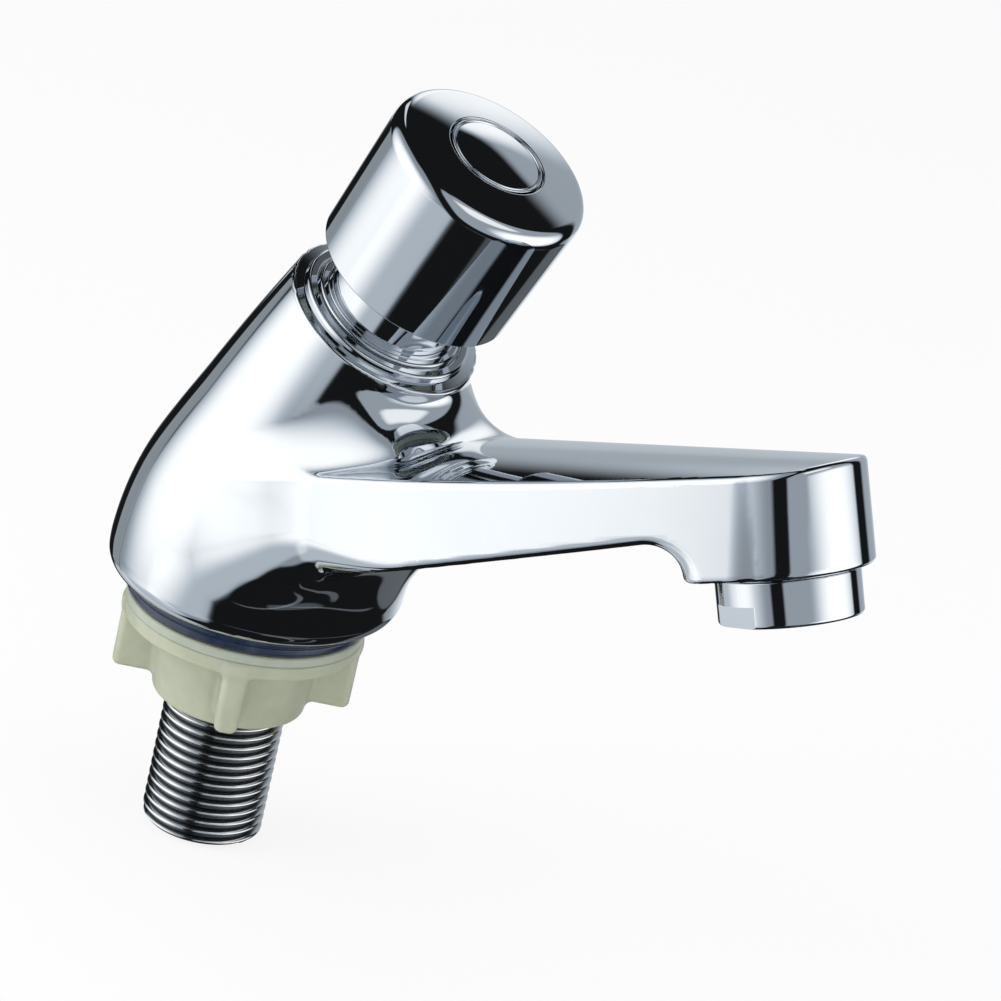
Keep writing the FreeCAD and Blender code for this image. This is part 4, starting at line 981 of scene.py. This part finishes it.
TURNS = math.ceil((THREAD["Top"] - THREAD["Bottom"]) / THREAD["Pitch"]) + 1
thread = grown("shank_thread", thread_tree(TURNS, 88), {**THREAD, "Finish": finishes["thread"]})
tidy = bmesh.new()
tidy.from_mesh(thread.data)
bmesh.ops.dissolve_degenerate(tidy, dist=1e-7, edges=tidy.edges[:])
bmesh.ops.recalc_face_normals(tidy, faces=tidy.faces[:])
outmost = max(tidy.faces, key=lambda f: math.hypot(*f.calc_center_median()[:2]))
if outmost.normal.dot(Vector((*outmost.calc_center_median()[:2], 0))) < 0:
    bmesh.ops.reverse_faces(tidy, faces=tidy.faces[:])
tidy.to_mesh(thread.data)
tidy.free()
put_on(thread, "tap", ["inlet_shank"])
SHANK = [(6.75, -42, 0.3), (9.5, -42, 0.05), (9.32, -41.6, 0), (9.32, 12.3, 0), (6.75, 12.3, 0)]
shank = turned("shank_tube", SHANK, finishes["thread"], straight, 128)
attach(shank, "tap")
print("thread of", TURNS, "turns,", len(thread.data.polygons), "faces")

# %% [markdown]
# The wing nut is one soft plastic moulding: a round flange, a slightly tapered hub and four
# wings with rounded edges. It is drawn from a field too, because its fillets are what tells
# the eye that it is moulded and not turned.

# %% Wing nut
NUT_TURN = math.radians(-47.5)
NUT_TOP, FLANGE_BOTTOM, WING_BOTTOM, HUB_BOTTOM = -2.05, -4.85, -15.65, -17.85
FLANGE_RADIUS, NUT_BORE, NUT_GRID = 20.6, 10.6, 0.42


def nut_field(points):
    z = points[..., 2]
    r = np.hypot(points[..., 0], points[..., 1])
    hub_radius = 14.4 - 1.2 * np.clip((FLANGE_BOTTOM - z) / 13.0, 0, 1.2)
    hub = cut(cut(r - hub_radius, HUB_BOTTOM - z, 1.0), z - NUT_TOP, 0.3)
    flange = cut(cut(r - FLANGE_RADIUS, FLANGE_BOTTOM - z, 0.9), z - NUT_TOP, 0.5)
    form = join(hub, flange, 1.0)
    for quarter in range(2):
        turn = NUT_TURN + quarter * math.pi / 2
        along = points[..., 0] * math.cos(turn) + points[..., 1] * math.sin(turn)
        side = -points[..., 0] * math.sin(turn) + points[..., 1] * math.cos(turn)
        thick = 1.95 + 0.25 * np.clip((z - WING_BOTTOM) / 10.0, 0, 1)
        wing = cut(np.abs(side) - thick, np.abs(along) - FLANGE_RADIUS, 1.3)
        wing = cut(cut(wing, WING_BOTTOM - z, 1.3), z + 3.0, 0.2)
        form = join(form, wing, 1.1)
    hole = bore(points, NUT_BORE, -30.0, 5.0)
    return cut(form, -hole, 0.5)

span = np.arange(-21.6, 21.8, NUT_GRID)
places = np.stack(np.meshgrid(span, span, np.arange(-19.0, -1.0, NUT_GRID), indexing="ij"), -1)
points, quads = net(nut_field(places), places)
points = settle(nut_field, points, 3, 0.3)
slopes = slope_of(nut_field, points)
nut = mesh_object("wing_nut_moulding", points, quads, finishes["ivory_plastic"],
                  slopes / np.maximum(np.linalg.norm(slopes, axis=1, keepdims=True), 1e-9))
put_on(nut, "nut", ["wing_nut"])

# %% [markdown]
# A mirror finish shows the room more than itself, so the studio matters as much as the
# metal. What the chrome reflects is drawn in the world: a dark room with soft panels of
# light. One large panel stands to the left of the camera, one in front of the spout and one
# on the far side, each with a brighter core. The dark gaps between them give the metal its
# black edges. Small weak panels low down lighten the undersides, and the thinnest ones draw
# the fine light lines in the dark. The camera itself sees plain white.

# %% World
def bearings(bench):
    """Turn and tilt of a direction in the sky, in degrees."""
    spot = bench.node("ShaderNodeSeparateXYZ", {}, {0: bench.node("ShaderNodeTexCoord")})
    turn = spot.other("Y").math("ARCTAN2", spot) * (180 / math.pi)
    return turn, spot.other("Z").math("ARCSINE") * (180 / math.pi)


def panel(bench, sky, box, edge, level, core=None, lean=0.0):
    """A lit panel in the sky: a rounded box of directions, with a brighter core."""
    turn, tilt = sky
    turn = (turn - box[0] + 540.0).math("FLOORED_MODULO", 360.0) - 180.0
    tilt = tilt - box[1] - turn * lean
    x, y = turn / (box[2] / 2), tilt / (box[3] / 2)
    x, y = x * x, y * y
    inside = 1.0 - bench.rise(x * x + y * y, 1.0 - edge, 1.0 + edge)
    if core is None:
        return inside * level
    cx, cy, wide, tall, bright = core
    x, y = (turn - cx) / (wide / 2), (tilt - cy) / (tall / 2)
    glow = 1.0 - bench.rise(x * x + y * y, 0.05, 1.0)
    return inside * (level + glow * (bright - level))

# Each panel has its centre's turn and tilt, its width and height; the softness of its edge;
# its level; its core's offset, width, height and level; and how far it leans.
DARK_ROOM, PALE_ROOM = 0.012, 0.5
PANELS = [((-129, 4, 100, 140), 0.20, 0.42, (-5, 6, 106, 104, 1.7)),
          ((0, 23, 122, 102), 0.16, 0.50, (21, -24, 98, 64, 1.8)),
          ((110, 7, 61, 68), 0.50, 0.52, (14, 17, 42, 50, 1.4)),
          ((0, 50, 64, 30), 0.8, 0.8),
          ((100, -23, 56, 12), 0.4, 0.40),
          ((-188, -17, 18, 28), 0.3, 0.38),
          ((122, -16, 44, 26), 0.8, 0.10),
          ((-152, -46, 66, 40), 0.6, 0.33),
          ((-108, -34, 56, 34), 0.9, 0.30),
          ((168, -50, 34, 40), 0.35, 0.70),
          ((100, -40, 36, 20), 0.5, 0.15),
          ((145, 42, 9, 30), 0.7, 1.0),
          ((143, -6, 15, 12), 0.5, 1.0),
          ((-5, -57, 52, 10), 0.5, 0.10),
          ((-10, -59, 110, 2.4), 0.8, 0.16, None, -0.25),
          ((30, -50, 80, 2.0), 0.8, 0.14, None, 0.22),
          ((60, -66, 50, 3.0), 0.8, 0.14, None, -0.3)]
world = bpy.data.worlds.new("studio")
bpy.context.scene.world = world
world.use_nodes = True
world.node_tree.nodes.clear()
bench = Bench(world.node_tree)
sky = bearings(bench)
level = panel(bench, sky, *PANELS[0]) + DARK_ROOM
for row in PANELS[1:]:
    level = level + panel(bench, sky, *row)
rays = bench.node("ShaderNodeLightPath")
mirrored = rays.other("Is Glossy Ray")
seen = rays.other("Is Camera Ray").math("MAXIMUM", rays.other("Is Transmission Ray"))
room = PALE_ROOM * (1.0 - mirrored) * (1.0 - seen)
tone = bench.mix(bench.rise(level, 0.5, 1.5), (0.86, 0.935, 1.0), (1.0, 0.985, 0.955))
light = bench.node("ShaderNodeBackground", {}, {"Color": tone, "Strength": level * mirrored})
soft = bench.node("ShaderNodeBackground", {}, {"Color": (1.0, 1.0, 1.0, 1.0), "Strength": room + seen})
blend = bench.node("ShaderNodeMixShader", {}, {0: mirrored, 1: soft, 2: light})
bench.node("ShaderNodeOutputWorld", {}, {"Surface": blend})
print("world with", len(PANELS), "panels")

# %% [markdown]
# Three area lamps give the plastic and the floor a soft even light. The chrome doesn't see
# them, because the world's panels already draw what it reflects.

# %% Lamps
def soft_lamp(name, turn, tilt, distance, size, power):
    lamp = bpy.data.lights.new(name, "AREA")
    lamp.shape, lamp.size, lamp.energy = "SQUARE", size, power
    holder = bpy.data.objects.new(name, lamp)
    a, b = math.radians(turn), math.radians(tilt)
    way = Vector((math.cos(a) * math.cos(b), math.sin(a) * math.cos(b), math.sin(b)))
    holder.location = Vector(AIM * MM) + way * distance
    holder.rotation_euler = way.to_track_quat("Z", "Y").to_euler()
    holder.visible_glossy = False
    bpy.context.scene.collection.objects.link(holder)

soft_lamp("left_soft_box", -125, 28, 0.9, 0.7, 4.0)
soft_lamp("top_soft_box", 10, 75, 0.9, 0.8, 2.8)
soft_lamp("right_fill", -45, 12, 1.0, 0.6, 2.6)
print("three lamps")

# %% [markdown]
# The tap stands on the end of its shank on a white floor that runs out to the horizon. Part
# of the floor's white is its own, so that it stays pale, and the rest is lit, so that it
# still keeps the tap's soft shadow.

# %% Floor
OWN_WHITE, FLOOR_HALF, FLOOR_HEIGHT = 0.86, 30000.0, -42.6


def make_floor():
    paint = bpy.data.materials.new("floor_paint")
    paint.use_nodes = True
    paint.node_tree.nodes.clear()
    bench = Bench(paint.node_tree)
    where = bench.node("ShaderNodeTexCoord").other("Object")
    dust = bench.noise(where, 6.0, 3.0)
    paint_white = bench.mix(dust, (0.93, 0.93, 0.93), (0.96, 0.96, 0.96))
    lit = bench.node("ShaderNodeBsdfDiffuse", {}, {"Color": paint_white})
    glow = bench.node("ShaderNodeEmission", {}, {"Color": (1.0, 1.0, 1.0, 1.0), "Strength": 1.0})
    rays = bench.node("ShaderNodeLightPath")
    own = rays.other("Is Camera Ray").math("MAXIMUM", rays.other("Is Transmission Ray")) * OWN_WHITE
    surface = bench.node("ShaderNodeMixShader", {}, {0: own, 1: lit, 2: glow})
    bench.node("ShaderNodeOutputMaterial", {}, {"Surface": surface})
    return paint

corners = np.array([(-1, -1, 0), (1, -1, 0), (1, 1, 0), (-1, 1, 0)]) * FLOOR_HALF + (0, 0, FLOOR_HEIGHT)
floor = mesh_object("floor", corners, [[0, 1, 2, 3]], make_floor())
floor.visible_glossy = False
print("floor at", round(floor.data.vertices[0].co.z, 4))
